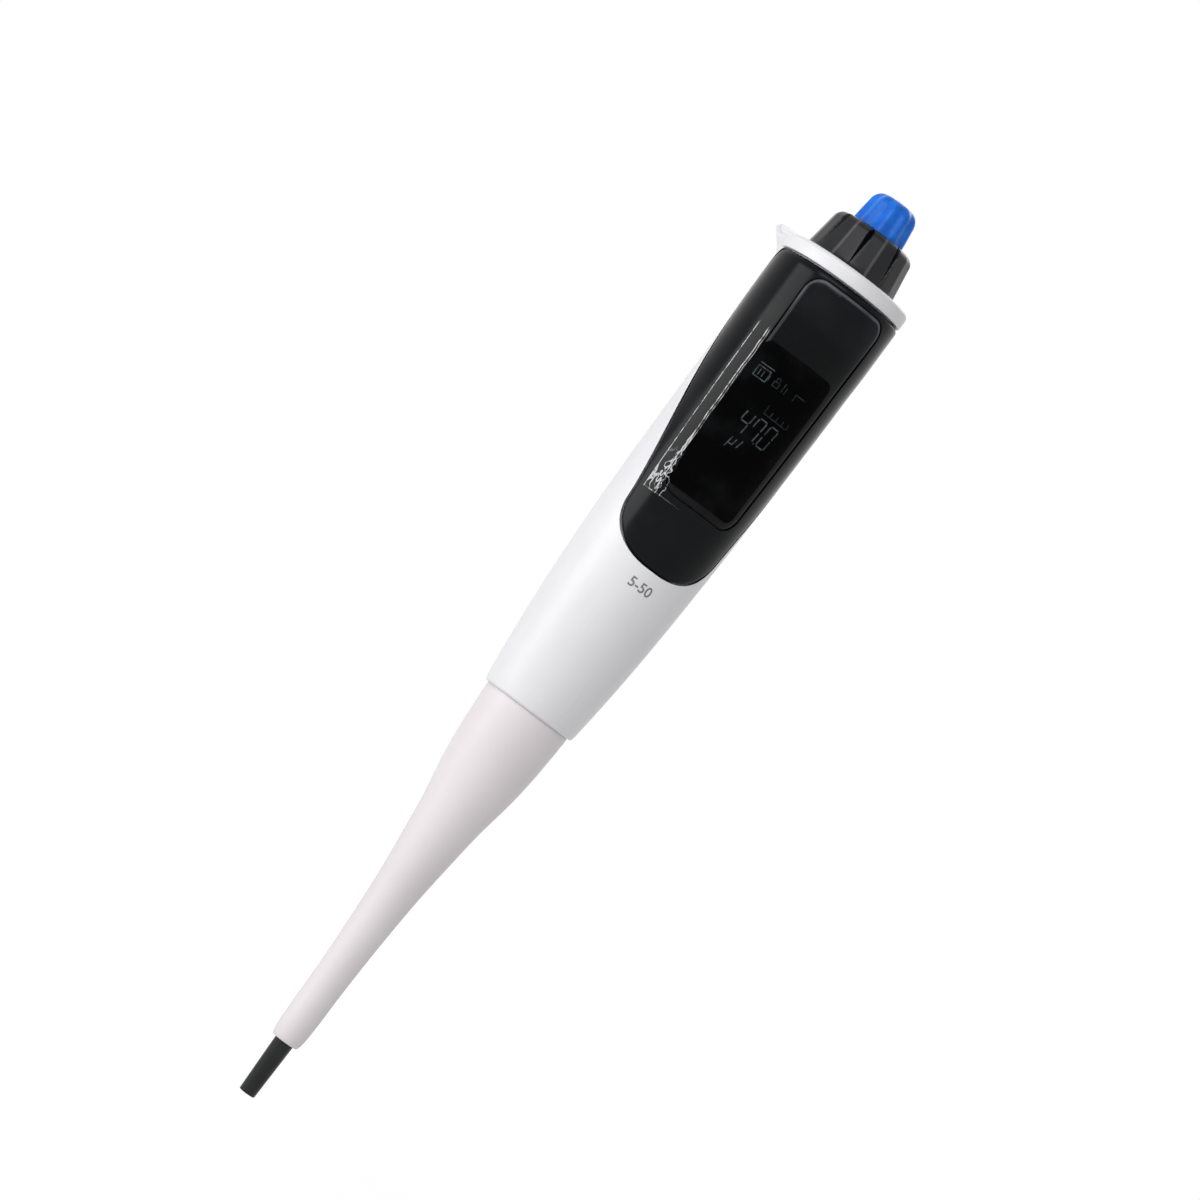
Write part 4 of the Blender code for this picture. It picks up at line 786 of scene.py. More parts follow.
def edge_distance(angle, height):
    """How far a point of the cover lies from its side and its foot, along the surface."""
    radius = grip(height)
    along = abs(angle) * radius
    rise = height - COVER_FOOT
    drop = TOP - height
    foot_lost = round_off(rise, CORNER_RISE) * CORNER_RUN / CORNER_RISE
    top_lost = round_off(drop, TOP_CORNER)
    wrap = cover_half(height) * radius + foot_lost + top_lost
    if rise < CORNER_RISE and along > wrap - CORNER_RUN:
        u = (along - wrap + CORNER_RUN) / CORNER_RUN
        v = (CORNER_RISE - rise) / CORNER_RISE
        out = math.hypot(u, v)
        return (1.0 - out) * out / math.hypot(u / CORNER_RUN, v / CORNER_RISE)
    if drop < TOP_CORNER and along > wrap - TOP_CORNER:
        return TOP_CORNER - math.hypot(along - wrap + TOP_CORNER, TOP_CORNER - drop)
    return min(wrap - along, rise)


def cover_skin(angle, height):
    """The cover's outer surface, rolled over at its edges."""
    rolled = round_off(edge_distance(angle, height), EDGE_ROLL)
    return front(angle, height) - max(rolled, round_off(TOP - height, TOP_ROLL))


def lens_side(height):
    """Half the window's width along the surface. Its sides close in a little downwards."""
    return LENS_SIDE - LENS_NARROWING * (LENS_TOP - height) / (LENS_TOP - LENS_FOOT)


def lens_half(height):
    """The angle that half the window takes up, with round corners at both ends."""
    end = min(height - LENS_FOOT, LENS_TOP - height)
    return (lens_side(height) - round_off(end, LENS_CORNER)) / front(0.0, height)


print("window:", round((LENS_TOP - LENS_FOOT) * 1000.0, 1), "mm tall")

# %% Front cover
COVER_COLUMNS = (0.0, 0.0015, 0.006, 0.013, 0.022, 0.034, 0.05, 0.08)
COVER_FOOT_STEPS = (0.0, 0.00003, 0.0001, 0.0002, 0.00035, 0.0005, 0.0007)
TOP_ROLL_SHARES = (0.9, 0.7, 0.5, 0.33, 0.18, 0.07, 0.02, 0.0)


def near_ends(count, steps):
    """Shares from -1 to 1 that crowd at both ends."""
    inside = between(-1.0 + steps[-1], 1.0 - steps[-1], count)
    outer = steps[:-1]
    return [-1.0 + step for step in outer] + inside + [1.0 - step for step in reversed(outer)]


def make_cover():
    heights = [COVER_FOOT + step for step in COVER_FOOT_STEPS]
    heights += [COVER_FOOT + CORNER_RISE * share for share in bend(26, 90, 5)]
    heights += between(COVER_FOOT + CORNER_RISE, TOP - TOP_CORNER, 56)
    heights += [TOP - TOP_CORNER * share for share in bend(84, 40, -6)]
    heights += [TOP - TOP_ROLL * share for share in TOP_ROLL_SHARES]
    return patch(
        "front_panel",
        heights,
        cover_half,
        cover_skin,
        lambda a, h: front(a, h) - WALL,
        near_ends(64, COVER_COLUMNS),
    )


def make_recess():
    steps = [LENS_CORNER * share for share in bend(9, 90, 9)]
    rows = [LENS_FOOT - LENS_SEAM] + [LENS_FOOT + step for step in steps]
    rows += between(LENS_FOOT + LENS_CORNER, LENS_TOP - LENS_CORNER, 20)
    rows += [LENS_TOP - step for step in reversed(steps)] + [LENS_TOP + LENS_SEAM]
    return patch(
        "recess",
        rows,
        lambda h: lens_half(h) + LENS_SEAM / grip(h),
        lambda a, h: front(a, h) + PROUD,
        lambda a, h: front(a, h) - RECESS_DEPTH,
        between(-1.0, 1.0, 24),
    )


front_panel = cut(make_cover(), make_recess())
dress(front_panel, "housing", cover_black, "cover_black", "front_cover")

# %% [markdown]
# ## The display window
#
# The window is a curved strip of smoked acrylic, set almost flush in the cover. Behind it is the
# display. In the picture it is a dark mirror with only the segments showing faintly, so the strip
# is dark and glossy, and its rim is rolled so that it catches a thin line of light. Its finish adds
# a painted highlight on the rim's upper end and a painted reflection below it.

# %% Window
WINDOW_COLUMNS = (0.0, 0.001, 0.004, 0.009, 0.016, 0.026, 0.04, 0.06, 0.085, 0.11)
WINDOW_STEPS = [0.00001, 0.00004, 0.0001, 0.0002, 0.00035, 0.00055, 0.0008, 0.0011, 0.0015]


def lens_skin(angle, height):
    """The window's outer surface: it falls away towards its rim."""
    along = abs(angle) * front(0.0, height)
    wide = lens_side(height)
    rise = min(height - LENS_FOOT, LENS_TOP - height)
    centre = wide - LENS_CORNER
    if rise < LENS_CORNER and along > centre:
        edge = LENS_CORNER - math.hypot(along - centre, LENS_CORNER - rise)
    else:
        edge = min(wide - along, rise)
    fall = round_off(edge, LENS_CROWN) * LENS_FALL / LENS_CROWN
    return front(angle, height) - LENS_SUNK - fall


def make_window():
    steps = [LENS_CORNER * share for share in bend(0, 90, 6)] + WINDOW_STEPS
    rows = sorted([LENS_FOOT + step for step in steps])
    rows += between(LENS_FOOT + LENS_CORNER, LENS_TOP - LENS_CORNER, 40)
    rows += sorted([LENS_TOP - step for step in steps])
    return patch(
        "window",
        rows,
        lens_half,
        lens_skin,
        lambda a, h: front(a, h) - LENS_SUNK - LENS_THICKNESS,
        near_ends(48, WINDOW_COLUMNS),
    )


window = make_window()
print("window:", len(window.data.polygons), "faces")

# %% [markdown]
# The window's finish knows its own outline. The distance to a rounded rectangle is worked out from
# two lengths, across and height: outside the corner's centre it is a circle's, elsewhere a side's.
# The rim's upper end is painted pale, a painted highlight, and below it the window is painted a
# little lighter, a painted reflection, and is rougher there. Two masks put them there.

# %% Window finish
RIM_IN = 0.00055
PAINTED_HIGHLIGHT_DROP = (0.0125, 0.0020)
PAINTED_REFLECTION_DROP = (0.0118, 0.0085)


def round_axis(finish):
    """The angle round the axis, 0 at the display, and the height of each point."""
    split = finish.node("ShaderNodeSeparateXYZ", {}, {0: spot(finish)}).socket.node
    x, y, height = (Wire(finish, socket) for socket in split.outputs)
    return finish.maths("ARCTAN2", x, -y), height


def inside_rim(finish, across, height):
    """How far each point lies inside the window's outline."""
    out = abs(across) - (LENS_SIDE - LENS_CORNER)
    up = height - (LENS_TOP - LENS_CORNER)
    out_only = finish.maths("MAXIMUM", out, 0.0)
    up_only = finish.maths("MAXIMUM", up, 0.0)
    round_part = (out_only * out_only + up_only * up_only) ** 0.5
    inner_part = finish.maths("MINIMUM", finish.maths("MAXIMUM", out, up), 0.0)
    return LENS_CORNER - round_part - inner_part


def smoked_window(name):
    finish = Finish(name)
    angle, height = round_axis(finish)
    from_rim = abs(inside_rim(finish, angle * front(0.0, LENS_TOP), height) - RIM_IN)
    # The rim's upper end is painted pale in patches: a painted highlight.
    rim = 1.0 - step_up(finish, from_rim, 0.0001, RIM_IN)
    upper = step_up(finish, height, *(LENS_TOP - drop for drop in PAINTED_HIGHLIGHT_DROP))
    patchy = 0.55 + 0.45 * patches(finish, 0.006, 3.0, 0.35, 0.65)
    # Below the rim the window is painted lighter in patches, a painted reflection; the same mask
    # makes it rougher.
    haze_and_painted_reflection = step_up(finish, height, *(LENS_TOP - drop for drop in PAINTED_REFLECTION_DROP)) * patchy
    painted_reflection_tone = blend(finish, haze_and_painted_reflection, rgb(0.0016, 0.0020, 0.0027), rgb(0.0050, 0.0062, 0.0078))
    scratched = patches(finish, 0.0004, 3.0, 0.66, 0.74, (1.0, 1.0, 0.05))
    return finish.surface(
        Base_Color=blend(finish, rim * upper * patchy, painted_reflection_tone, rgb(0.105, 0.112, 0.125)),
        Roughness=0.06 + 0.12 * haze_and_painted_reflection + 0.05 * scratched,
        Normal=bump(finish, scratched, 0.000003, 0.3),
        IOR=PLASTIC_IOR,
        Specular_IOR_Level=DIM_GLOSS,
    )


dress(window, "housing", smoked_window("window smoke"), "lens", "display_lens")

# %% [markdown]
# ## The display and its figures
#
# Behind the smoked window lies the liquid crystal display: a patch that is darker still, with round
# corners, and thin pale segments. The segments could be painted by a finish, but then they would
# be as sharp as its sampling. As meshes a hair above the window's surface they stay crisp from any
# distance, and they are placed where they line up with it from the picture's angle. Every figure
# is drawn flat, as lines across and along the front, and then laid on its curve.

# %% Sheets on the front
DISPLAY_LOW = -0.0565
DISPLAY_HIGH = -0.0168
DISPLAY_LEFT = -0.0116
DISPLAY_RIGHT = 0.0090
DISPLAY_CORNER = 0.0022
DISPLAY_LIFT = 0.00002


def on_skin(across, height, lift):
    """A point of the front, across metres right of its middle and lift above the skin."""
    angle = across / front(0.0, height)
    return point_at(angle, front(angle, height) + lift, height)


def sheet_on_front(name, rows, columns, lift_at):
    """A thin sheet on the front. Each row is (height, left side, right side)."""
    form = bmesh.new()
    grid = []
    for height, left, right in rows:
        sides = [left + (right - left) * share for share in between(0.0, 1.0, columns)]
        points = [on_skin(side, height, lift_at(side, height)) for side in sides]
        grid.append([form.verts.new(point) for point in points])
    for low, high in zip(grid, grid[1:]):
        bridge(form, low, high)
    return piece_from(name, form)


def make_display():
    steps = [DISPLAY_CORNER * share for share in bend(0, 90, 10)]
    heights = [DISPLAY_LOW + step for step in steps]
    heights += between(DISPLAY_LOW + DISPLAY_CORNER, DISPLAY_HIGH - DISPLAY_CORNER, 30)
    heights += [DISPLAY_HIGH - step for step in reversed(steps)]
    rows = []
    for height in heights:
        drawn = round_off(min(height - DISPLAY_LOW, DISPLAY_HIGH - height), DISPLAY_CORNER)
        rows.append((height, DISPLAY_LEFT + drawn, DISPLAY_RIGHT - drawn))
    return sheet_on_front("display", rows, 60, lambda side, height: DISPLAY_LIFT - LENS_SUNK)


display_dark = gloss_black("display dark", rgb(0.0006, 0.0007, 0.0008), 0.06, gloss=0.02)
dress(make_display(), "housing", display_dark, "lcd")

# %% Lines and figures
STROKE_STEP = 0.0004
TIP_LENGTH = 0.4
TIP_WIDTH = 0.45


def strokes(name, lines, width, lift):
    """Thin bars along lines of (across, height) points, bent over the front in short steps."""
    form = bmesh.new()
    for line in lines:
        for first, last in zip(line, line[1:]):
            first = Vector(first)
            last = Vector(last)
            along = (last - first).normalized()
            side = Vector((-along.y, along.x)) * width / 2.0
            tip = along * width * TIP_LENGTH
            count = max(1, math.ceil((last - first).length / STROKE_STEP))
            stops = [first.lerp(last, i / count) for i in range(count + 1)]
            stops = [first - tip] + stops + [last + tip]
            halves = [TIP_WIDTH] + [1.0] * (count + 1) + [TIP_WIDTH]
            rows = []
            for stop, half in zip(stops, halves):
                pair = (stop - side * half, stop + side * half)
                rows.append([form.verts.new(on_skin(p.x, p.y, lift)) for p in pair])
            for low, high in zip(rows, rows[1:]):
                bridge(form, low, high)
    return piece_from(name, form)


SEGMENTS = {
    "top": ((0.0, 1.0), (1.0, 1.0)),
    "middle": ((0.0, 0.5), (1.0, 0.5)),
    "foot": ((0.0, 0.0), (1.0, 0.0)),
    "high left": ((0.0, 0.5), (0.0, 1.0)),
    "high right": ((1.0, 0.5), (1.0, 1.0)),
    "low left": ((0.0, 0.0), (0.0, 0.5)),
    "low right": ((1.0, 0.0), (1.0, 0.5)),
}
LIT = {
    "4": ("high left", "middle", "high right", "low right"),
    "7": ("top", "high left", "high right", "low right"),
    "0": ("top", "foot", "high left", "high right", "low left", "low right"),
}
print("segments of a digit:", len(SEGMENTS))

# %% The reading
FIGURE_FOOT = -0.0383
FIGURE_TALL = 0.0056
FIGURE_SLANT = 0.10
SEGMENT_GAP = 0.13


def figure(digit, centre, wide):
    """The lit segments of a digit, each a little short of its neighbours and slanted."""
    lines = []
    for key in LIT[digit]:
        ends = [Vector(end) for end in SEGMENTS[key]]
        line = []
        for here, there in (ends, reversed(ends)):
            across, rise = here.lerp(there, SEGMENT_GAP)
            slant = FIGURE_SLANT * rise * FIGURE_TALL
            line.append((centre + (across - 0.5) * wide + slant, FIGURE_FOOT + rise * FIGURE_TALL))
        lines.append(line)
    return lines


reading = figure("4", -0.0043, 0.0022) + figure("7", -0.0010, 0.0021) + figure("0", 0.0024, 0.0023)
point = [(0.00065, FIGURE_FOOT), (0.00072, FIGURE_FOOT)]
reading.append(point)
print("figures:", len(reading), "bars")

# %% [markdown]
# The small signs above the figures are generic ones: a battery with its charge, a padlock for a
# locked volume, and a scale. The unit stands below. They share one kind of pale finish, with a
# bright and a dim shade. It takes next to no gloss of its own, because on the real display they lie
# under the window.


# %% Signs and unit
def box_lines(left, foot, wide, tall):
    right = left + wide
    top = foot + tall
    return [[(left, foot), (right, foot), (right, top), (left, top), (left, foot)]]


battery = box_lines(-0.0092, -0.0256, 0.0034, 0.0026)
battery += [
    [(-0.0092, -0.0222), (-0.0054, -0.0222)],
    [(-0.0055, -0.0248), (-0.0055, -0.0238)],
    [(-0.0082, -0.0250), (-0.0082, -0.0236)],
    [(-0.0072, -0.0250), (-0.0072, -0.0236)],
]
padlock = box_lines(-0.0040, -0.0252, 0.0014, 0.0012)
padlock += [[(-0.0037, -0.0240), (-0.0037, -0.0230), (-0.0029, -0.0230), (-0.0029, -0.0240)]]
marks = [
    [(-0.0014, -0.0252), (-0.0014, -0.0230)],
    [(-0.0006, -0.0252), (-0.0006, -0.0238)],
    [(0.0020, -0.0252), (0.0020, -0.0236), (0.0048, -0.0236)],
]
scale = [
    [(-0.0016, -0.0314), (0.0052, -0.0314)],
    [(-0.0016, -0.0292), (-0.0016, -0.0314)],
]
scale += [[(0.0001 + 0.0017 * i, -0.0312), (0.0001 + 0.0017 * i, -0.0302)] for i in range(4)]
unit = [
    [(-0.0045, -0.0425), (-0.0041, -0.0398)],
    [(-0.0044, -0.0414), (-0.0032, -0.0414)],
    [(-0.0032, -0.0414), (-0.0029, -0.0398)],
    [(-0.0020, -0.0414), (-0.0015, -0.0394)],
]
print("signs:", len(battery + padlock + marks + scale + unit), "lines")

# %% Dressing the display's figures
SEGMENT_LIFT = 0.00004


def pale_segments(name, colour, faded):
    finish = Finish(name)
    patchy = patches(finish, 0.0011, 3.0, 0.35, 0.65)
    return finish.surface(
        Base_Color=blend(finish, patchy, colour, faded),
        Roughness=0.55 + 0.1 * patchy,
        Specular_IOR_Level=0.05,
    )


bright = pale_segments("display segments", rgb(0.068, 0.084, 0.086), rgb(0.030, 0.038, 0.039))
dim = pale_segments("display dim segments", rgb(0.026, 0.032, 0.033), rgb(0.010, 0.013, 0.014))
for name, drawn, width, segment_finish in (
    ("figures", reading, 0.00036, bright),
    ("signs", battery, 0.00026, bright),
    ("dim_signs", padlock + marks + scale, 0.00026, dim),
    ("unit", unit, 0.00028, bright),
):
    piece = strokes(name, drawn, width, SEGMENT_LIFT - LENS_SUNK)
    dress(piece, "housing", segment_finish, "lcd")

# %% [markdown]
# ## The range on the handle
#
# The range is printed in grey under the cover. A text object gives its outlines; turned into a
# mesh, each of its points is moved from the flat onto the handle's curve. Printing ink is nearly
# flush, so the lift is only two hundredths of a millimetre.

# %% Printed range
SIZE_TO_HEIGHT = 1.38
BOLDER = 0.00005
INK_LIFT = 0.00002


def printed(name, words, tall, middle):
    """Words on the front, as tall as given, with their middle at a height."""
    curve = bpy.data.curves.new(name, "FONT")
    curve.body = words
    curve.size = tall * SIZE_TO_HEIGHT
    curve.offset = BOLDER
    curve.align_x = "CENTER"
    curve.align_y = "CENTER"
    flat = bpy.data.objects.new(name + "_flat", curve)
    mesh = bpy.data.meshes.new_from_object(flat)
    bpy.data.objects.remove(flat, do_unlink=True)
    form = bmesh.new()
    form.from_mesh(mesh)
    bmesh.ops.triangulate(form, faces=form.faces[:])
    for vert in form.verts:
        vert.co = on_skin(vert.co.x, middle + vert.co.y, INK_LIFT)
    return piece_from(name, form)


def ink_grey(name):
    finish = Finish(name)
    specks = patches(finish, 0.00012, 2.0, 0.60, 0.72)
    return finish.surface(
        Base_Color=blend(finish, specks, rgb(0.17, 0.17, 0.185), rgb(0.34, 0.34, 0.355)),
        Roughness=0.5 + 0.1 * specks,
    )


range_print = printed("range_print", "5-50", 0.0025, -0.0797)
dress(range_print, "housing", ink_grey("printing ink"), "cover_black")

# %% [markdown]
# ## The protective film
#
# New instruments keep a clear foil over the display. It can't be seen where it lies flat. What
# shows is its left edge and its foot, two folds where it steps down over the window's rim, and the
# crinkles at its lower corner, all of which catch the light. So the sheet is almost clear, and
# those
# lines carry a painted highlight: one mask made of them paints them pale and partly opaque. The
# mask is drawn in the same two lengths as the figures, across and height, but here the height is
# counted downwards.

# %% Lines of the film
FILM_ANGLE = 0.868
FILM_LOW = -0.0604
FILM_HIGH = -0.0130
FILM_RADIUS = 0.0187
FILM_LEFT = -FILM_ANGLE * FILM_RADIUS
FILM_STEP = -0.0128
WAVE_LENGTH = 0.0041


def thin_line(finish, value, centre, half):
    """1 on a line where value is centre, and 0 from half its width outwards."""
    return 1.0 - step_up(finish, abs(value - centre), 0.3 * half, half)


def edge_and_folds(finish, across, down, broken, ends):
    """The film's left edge, and beside it two folds that wander a little."""
    wander = noise(finish, 0.009, 2.0, (0.0, 0.0, 1.0)) - 0.5
    edge = thin_line(finish, across, FILM_LEFT + 0.00012, 0.00020) * broken
    first = thin_line(finish, across + 0.0008 * wander, FILM_STEP, 0.00022) * broken
    second = thin_line(finish, across + 0.0011 * wander, FILM_STEP + 0.0006, 0.00014) * broken
    starts = step_up(finish, down, 0.0138, 0.0160)
    return (edge + first * ends + second * ends * 0.7) * starts


def loops(finish, across, down, ends):
    """Lower down the folds swing to and fro and cross, which makes a chain of loops."""
    waves = finish.maths("SINE", -down * (2.0 * math.pi / WAVE_LENGTH))
    sway = waves * step_up(finish, down, 0.0420, 0.0560) * 0.0009
    left = thin_line(finish, across + sway, FILM_STEP + 0.0002, 0.00026)
    right = thin_line(finish, across - sway, FILM_STEP, 0.00026)
    return (left + right) * step_up(finish, down, 0.0430, 0.0460) * ends


def foot_line(finish, across, height):
    """The film's foot, which fades out to the right."""
    foot = thin_line(finish, height, FILM_LOW + 0.00014, 0.00022)
    return foot * (1.0 - step_up(finish, across, -0.0090, -0.0020))


print("film:", round((FILM_HIGH - FILM_LOW) * 1000.0, 1), "mm tall")


# %% Film finish
def clear_film(name):
    finish = Finish(name)
    angle, height = round_axis(finish)
    across = angle * FILM_RADIUS
    down = -height
    broken = 0.45 + 0.55 * patches(finish, 0.0016, 3.0, 0.38, 0.6, (0.2, 0.2, 1.0))
    ends = 1.0 - step_up(finish, down, 0.0590, 0.0604)
    folds = noise(finish, 0.0018, 2.0, (1.0, 1.0, 0.5)) - 0.5
    crease = 1.0 - step_up(finish, abs(folds), 0.012, 0.045)
    corner = step_up(finish, down, 0.0455, 0.0560)
    widening = step_up(finish, down, 0.0545, 0.0580) * 0.0016
    near = 1.0 - step_up(finish, across - widening, -0.0122, -0.0110)
    # The lines are painted pale and partly opaque: a painted highlight where they catch the light.
    mask = edge_and_folds(finish, across, down, broken, ends)
    mask = mask + loops(finish, across, down, ends) * 0.8 * broken
    mask = mask + crease * corner * near * 0.85 + foot_line(finish, across, height) * 0.32
    body = step_up(finish, mask, 0.0, 1.0)
    return finish.surface(
        Base_Color=blend(finish, body, rgb(0.30, 0.30, 0.31), rgb(0.80, 0.80, 0.82)),
        Roughness=0.12 + 0.25 * body,
        Alpha=0.66 * body,
        Normal=bump(finish, folds * body, 0.0004, 0.3),
        IOR=PLASTIC_IOR,
    )


film_clear = clear_film("clear film")
print("film finish:", film_clear.name)

# %% Film
FILM_LIFT = 0.00004
RIM_INSET = 0.0008
RIM_STEP = 0.0006


def film_lift(side, height):
    """The film lies lower over the sunk window than on the cover beside and below it."""
    beside = ease((abs(side) - lens_side(height) + RIM_INSET) / RIM_STEP)
    below = ease((LENS_FOOT + RIM_INSET - height) / RIM_STEP)
    return 2.0 * FILM_LIFT * max(beside, below) - FILM_LIFT


def make_film():
    rows = []
    for height in between(FILM_LOW, FILM_HIGH, 80):
        side = FILM_ANGLE * front(0.0, height)
        rows.append((height, -side, side))
    return sheet_on_front("film", rows, 110, film_lift)


dress(make_film(), "housing", film_clear, "lens")

# %% [markdown]
# ## The top plate
#
# A white plate closes the handle and carries the hook's top. Round the dial it is a flat ring;
# behind, it is pulled out over the hook, and lifts a little towards the hook's rim. Its edge is
# rounded above and below, which gives the thin bright ring between cover and dial. Underneath, a
# low tongue drops inside the handle's wall: it centres the plate and closes the seam to light.
# The stem of the ejector's button slides in a slot behind the dial.


# %% Steps of a rounded edge
def upper_edge():
    """(drawn back, risen) along a rounded upper edge, as shares of its radius."""
    swings = [math.radians(degrees) for degrees in range(10, 91, 10)]
    return [(1.0 - math.cos(swing), math.sin(swing)) for swing in swings]


def lower_edge():
    """(drawn back, risen) along a rounded lower edge, as shares of its radius."""
    swings = [math.radians(degrees) for degrees in range(0, 91, 30)]
    return [(1.0 - math.sin(swing), 1.0 - math.cos(swing)) for swing in swings]


print("steps of a rounded edge:", len(upper_edge()), "above,", len(lower_edge()), "below")

# %% Top plate outline
PLATE_THICK = 0.0038
PLATE_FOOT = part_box("top_plate")[0].z
PLATE_TOP = PLATE_FOOT + PLATE_THICK
PLATE_RIM = TOP + PLATE_THICK
PLATE_ROLL = 0.0012
PLATE_FOOT_ROLL = 0.0003
HUB_HOLE = 0.0085
LIFT = 0.0030
LIFT_START = 0.0140
TONGUE_WIDTH = 0.0006
TONGUE_DEPTH = 0.0010
TONGUE_ROOM = 0.0002


def lifted(points):
    """Raises the ring behind the dial towards the hook's rim."""
    for point in points:
        point.z += LIFT * ease((point.y - LIFT_START) / (HOOK_REACH - LIFT_START))
    return points


def plate_rim(angle):
    """The plate's edge goes on where the handle's skin ends."""
    return skin(angle, PLATE_RIM)


def tongue(angle):
    """The tongue's outside, just inside the handle's wall."""
    return skin(angle, TOP) - WALL - TONGUE_ROOM


print("top plate:", PLATE_THICK * 1000.0, "mm thick")


# %% Top plate
def make_plate():
    angles = even(192)
    rings = [
        circle(HUB_HOLE, PLATE_FOOT, angles),
        ring(lambda a: tongue(a) - TONGUE_WIDTH, PLATE_FOOT, angles),
        ring(lambda a: tongue(a) - TONGUE_WIDTH, TOP - TONGUE_DEPTH, angles),
        ring(tongue, TOP - TONGUE_DEPTH, angles),
        ring(tongue, PLATE_FOOT, angles),
    ]
    for back, rise in lower_edge():
        height = PLATE_FOOT + PLATE_FOOT_ROLL * rise
        drawn = PLATE_FOOT_ROLL * back
        rings.append(ring(lambda a: skin(a, PLATE_FOOT) - drawn, height, angles))
    rings.append(lifted(ring(plate_rim, PLATE_TOP - PLATE_ROLL, angles)))
    for back, rise in upper_edge():
        height = PLATE_TOP - PLATE_ROLL + PLATE_ROLL * rise
        drawn = PLATE_ROLL * back
        rings.append(lifted(ring(lambda a: plate_rim(a) - drawn, height, angles)))
    for step in range(23, 0, -1):
        inner = ring(
            lambda a: HUB_HOLE + (plate_rim(a) - PLATE_ROLL - HUB_HOLE) * (step / 24.0),
            PLATE_TOP,
            angles,
        )
        rings.append(lifted(inner))
    rings.append(circle(HUB_HOLE, PLATE_TOP, angles))
    return loft("end_plate", rings)


end_plate = cut(make_plate(), ejector_slot())
dress(end_plate, "housing", shell_white, "shell_white", "top_plate")

# %% [markdown]
# ## The volume dial
#
# The dial is turned by hand to set the volume. Eight V grooves are cut into its tapered side: wide
# and deep at the top, gone at the base. Each lobe between two grooves has a ridge in its middle,
# and so two flat facets. The ridges are painted paler, a painted highlight, and are a little
# smoother. The finish finds them by the angle round the axis, folded into one lobe.

# %% Dial finish
LOBES = 8


def dial_plastic(name, colour, wear_and_highlight_colour):
    finish = Finish(name)
    angle, _ = round_axis(finish)
    from_ridge = finish.maths("PINGPONG", angle * (LOBES / (2.0 * math.pi)), 0.5)
    # The ridges are painted paler: a painted highlight, with a little less roughness.
    ridge = 1.0 - step_up(finish, from_ridge, 0.015, 0.06)
    grain = noise(finish, 0.00022, 3.0)
    wear_and_highlight = ridge * (0.6 + 0.4 * grain)
    cloud = patches(finish, 0.005, 3.0, 0.4, 0.65)
    clouded = blend(finish, 0.4 * cloud, colour, rgb(0.013, 0.013, 0.015))
    return finish.surface(
        Base_Color=blend(finish, wear_and_highlight, clouded, wear_and_highlight_colour),
        Roughness=0.27 + 0.10 * grain - 0.08 * wear_and_highlight,
        Normal=bump(finish, grain, 0.000015, 0.5),
        IOR=PLASTIC_IOR,
        Specular_IOR_Level=SATIN_GLOSS,
    )


# The second colour is the painted highlight on the ridges.
dial_black = dial_plastic("dial black", rgb(0.0060, 0.0064, 0.0078), rgb(0.085, 0.085, 0.090))
print("dial finish:", dial_black.name)

# %% Dial outline
DIAL_BASE = PLATE_TOP + 0.0004
DIAL_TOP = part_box("volume_dial")[1].z
DIAL_WIDE = 0.0120
DIAL_NARROW = 0.0107
DIAL_ROLL = 0.0022
DIAL_BASE_ROLL = 0.0004
HUB_RADIUS = 0.0082
HUB_DROP = 0.002
ROD_HOLE = 0.0020
BUTTON_WELL = 0.0075
WELL_DEPTH = 0.0116
GROOVE_HALF = 0.085
GROOVE_DEPTH = 0.0016
LOBE_SHARES = (
    *(0.0, 0.012, 0.03, 0.09, 0.16, 0.24, 0.32, 0.38, 0.5 - GROOVE_HALF, 0.43),
    *(0.445, 0.46, 0.475, 0.49),
)


def dial_radius(radius, facets, depth):
    """Radius at an angle: facets from 0, round, to 1, flat; depth from 0 to 1 for the grooves."""
    facet = math.pi * (0.5 - GROOVE_HALF) / LOBES

    def radius_at(angle):
        share = angle * LOBES / (2.0 * math.pi) % 1.0
        swing = min(share, 1.0 - share) * 2.0 * math.pi / LOBES
        flat = radius * math.cos(facet) / math.cos(min(abs(swing - facet), facet))
        groove = max(depth - abs(share - 0.5) / GROOVE_HALF, 0.0)
        return radius + facets * (flat - radius) - GROOVE_DEPTH * groove

    return radius_at


def dial_angles():
    """Angles that crowd at each ridge and each groove."""
    shares = [*LOBE_SHARES, 0.5, *(1.0 - share for share in reversed(LOBE_SHARES[1:]))]
    return [2.0 * math.pi * (lobe + share) / LOBES for lobe in range(LOBES) for share in shares]


print("dial rings have", len(dial_angles()), "points")


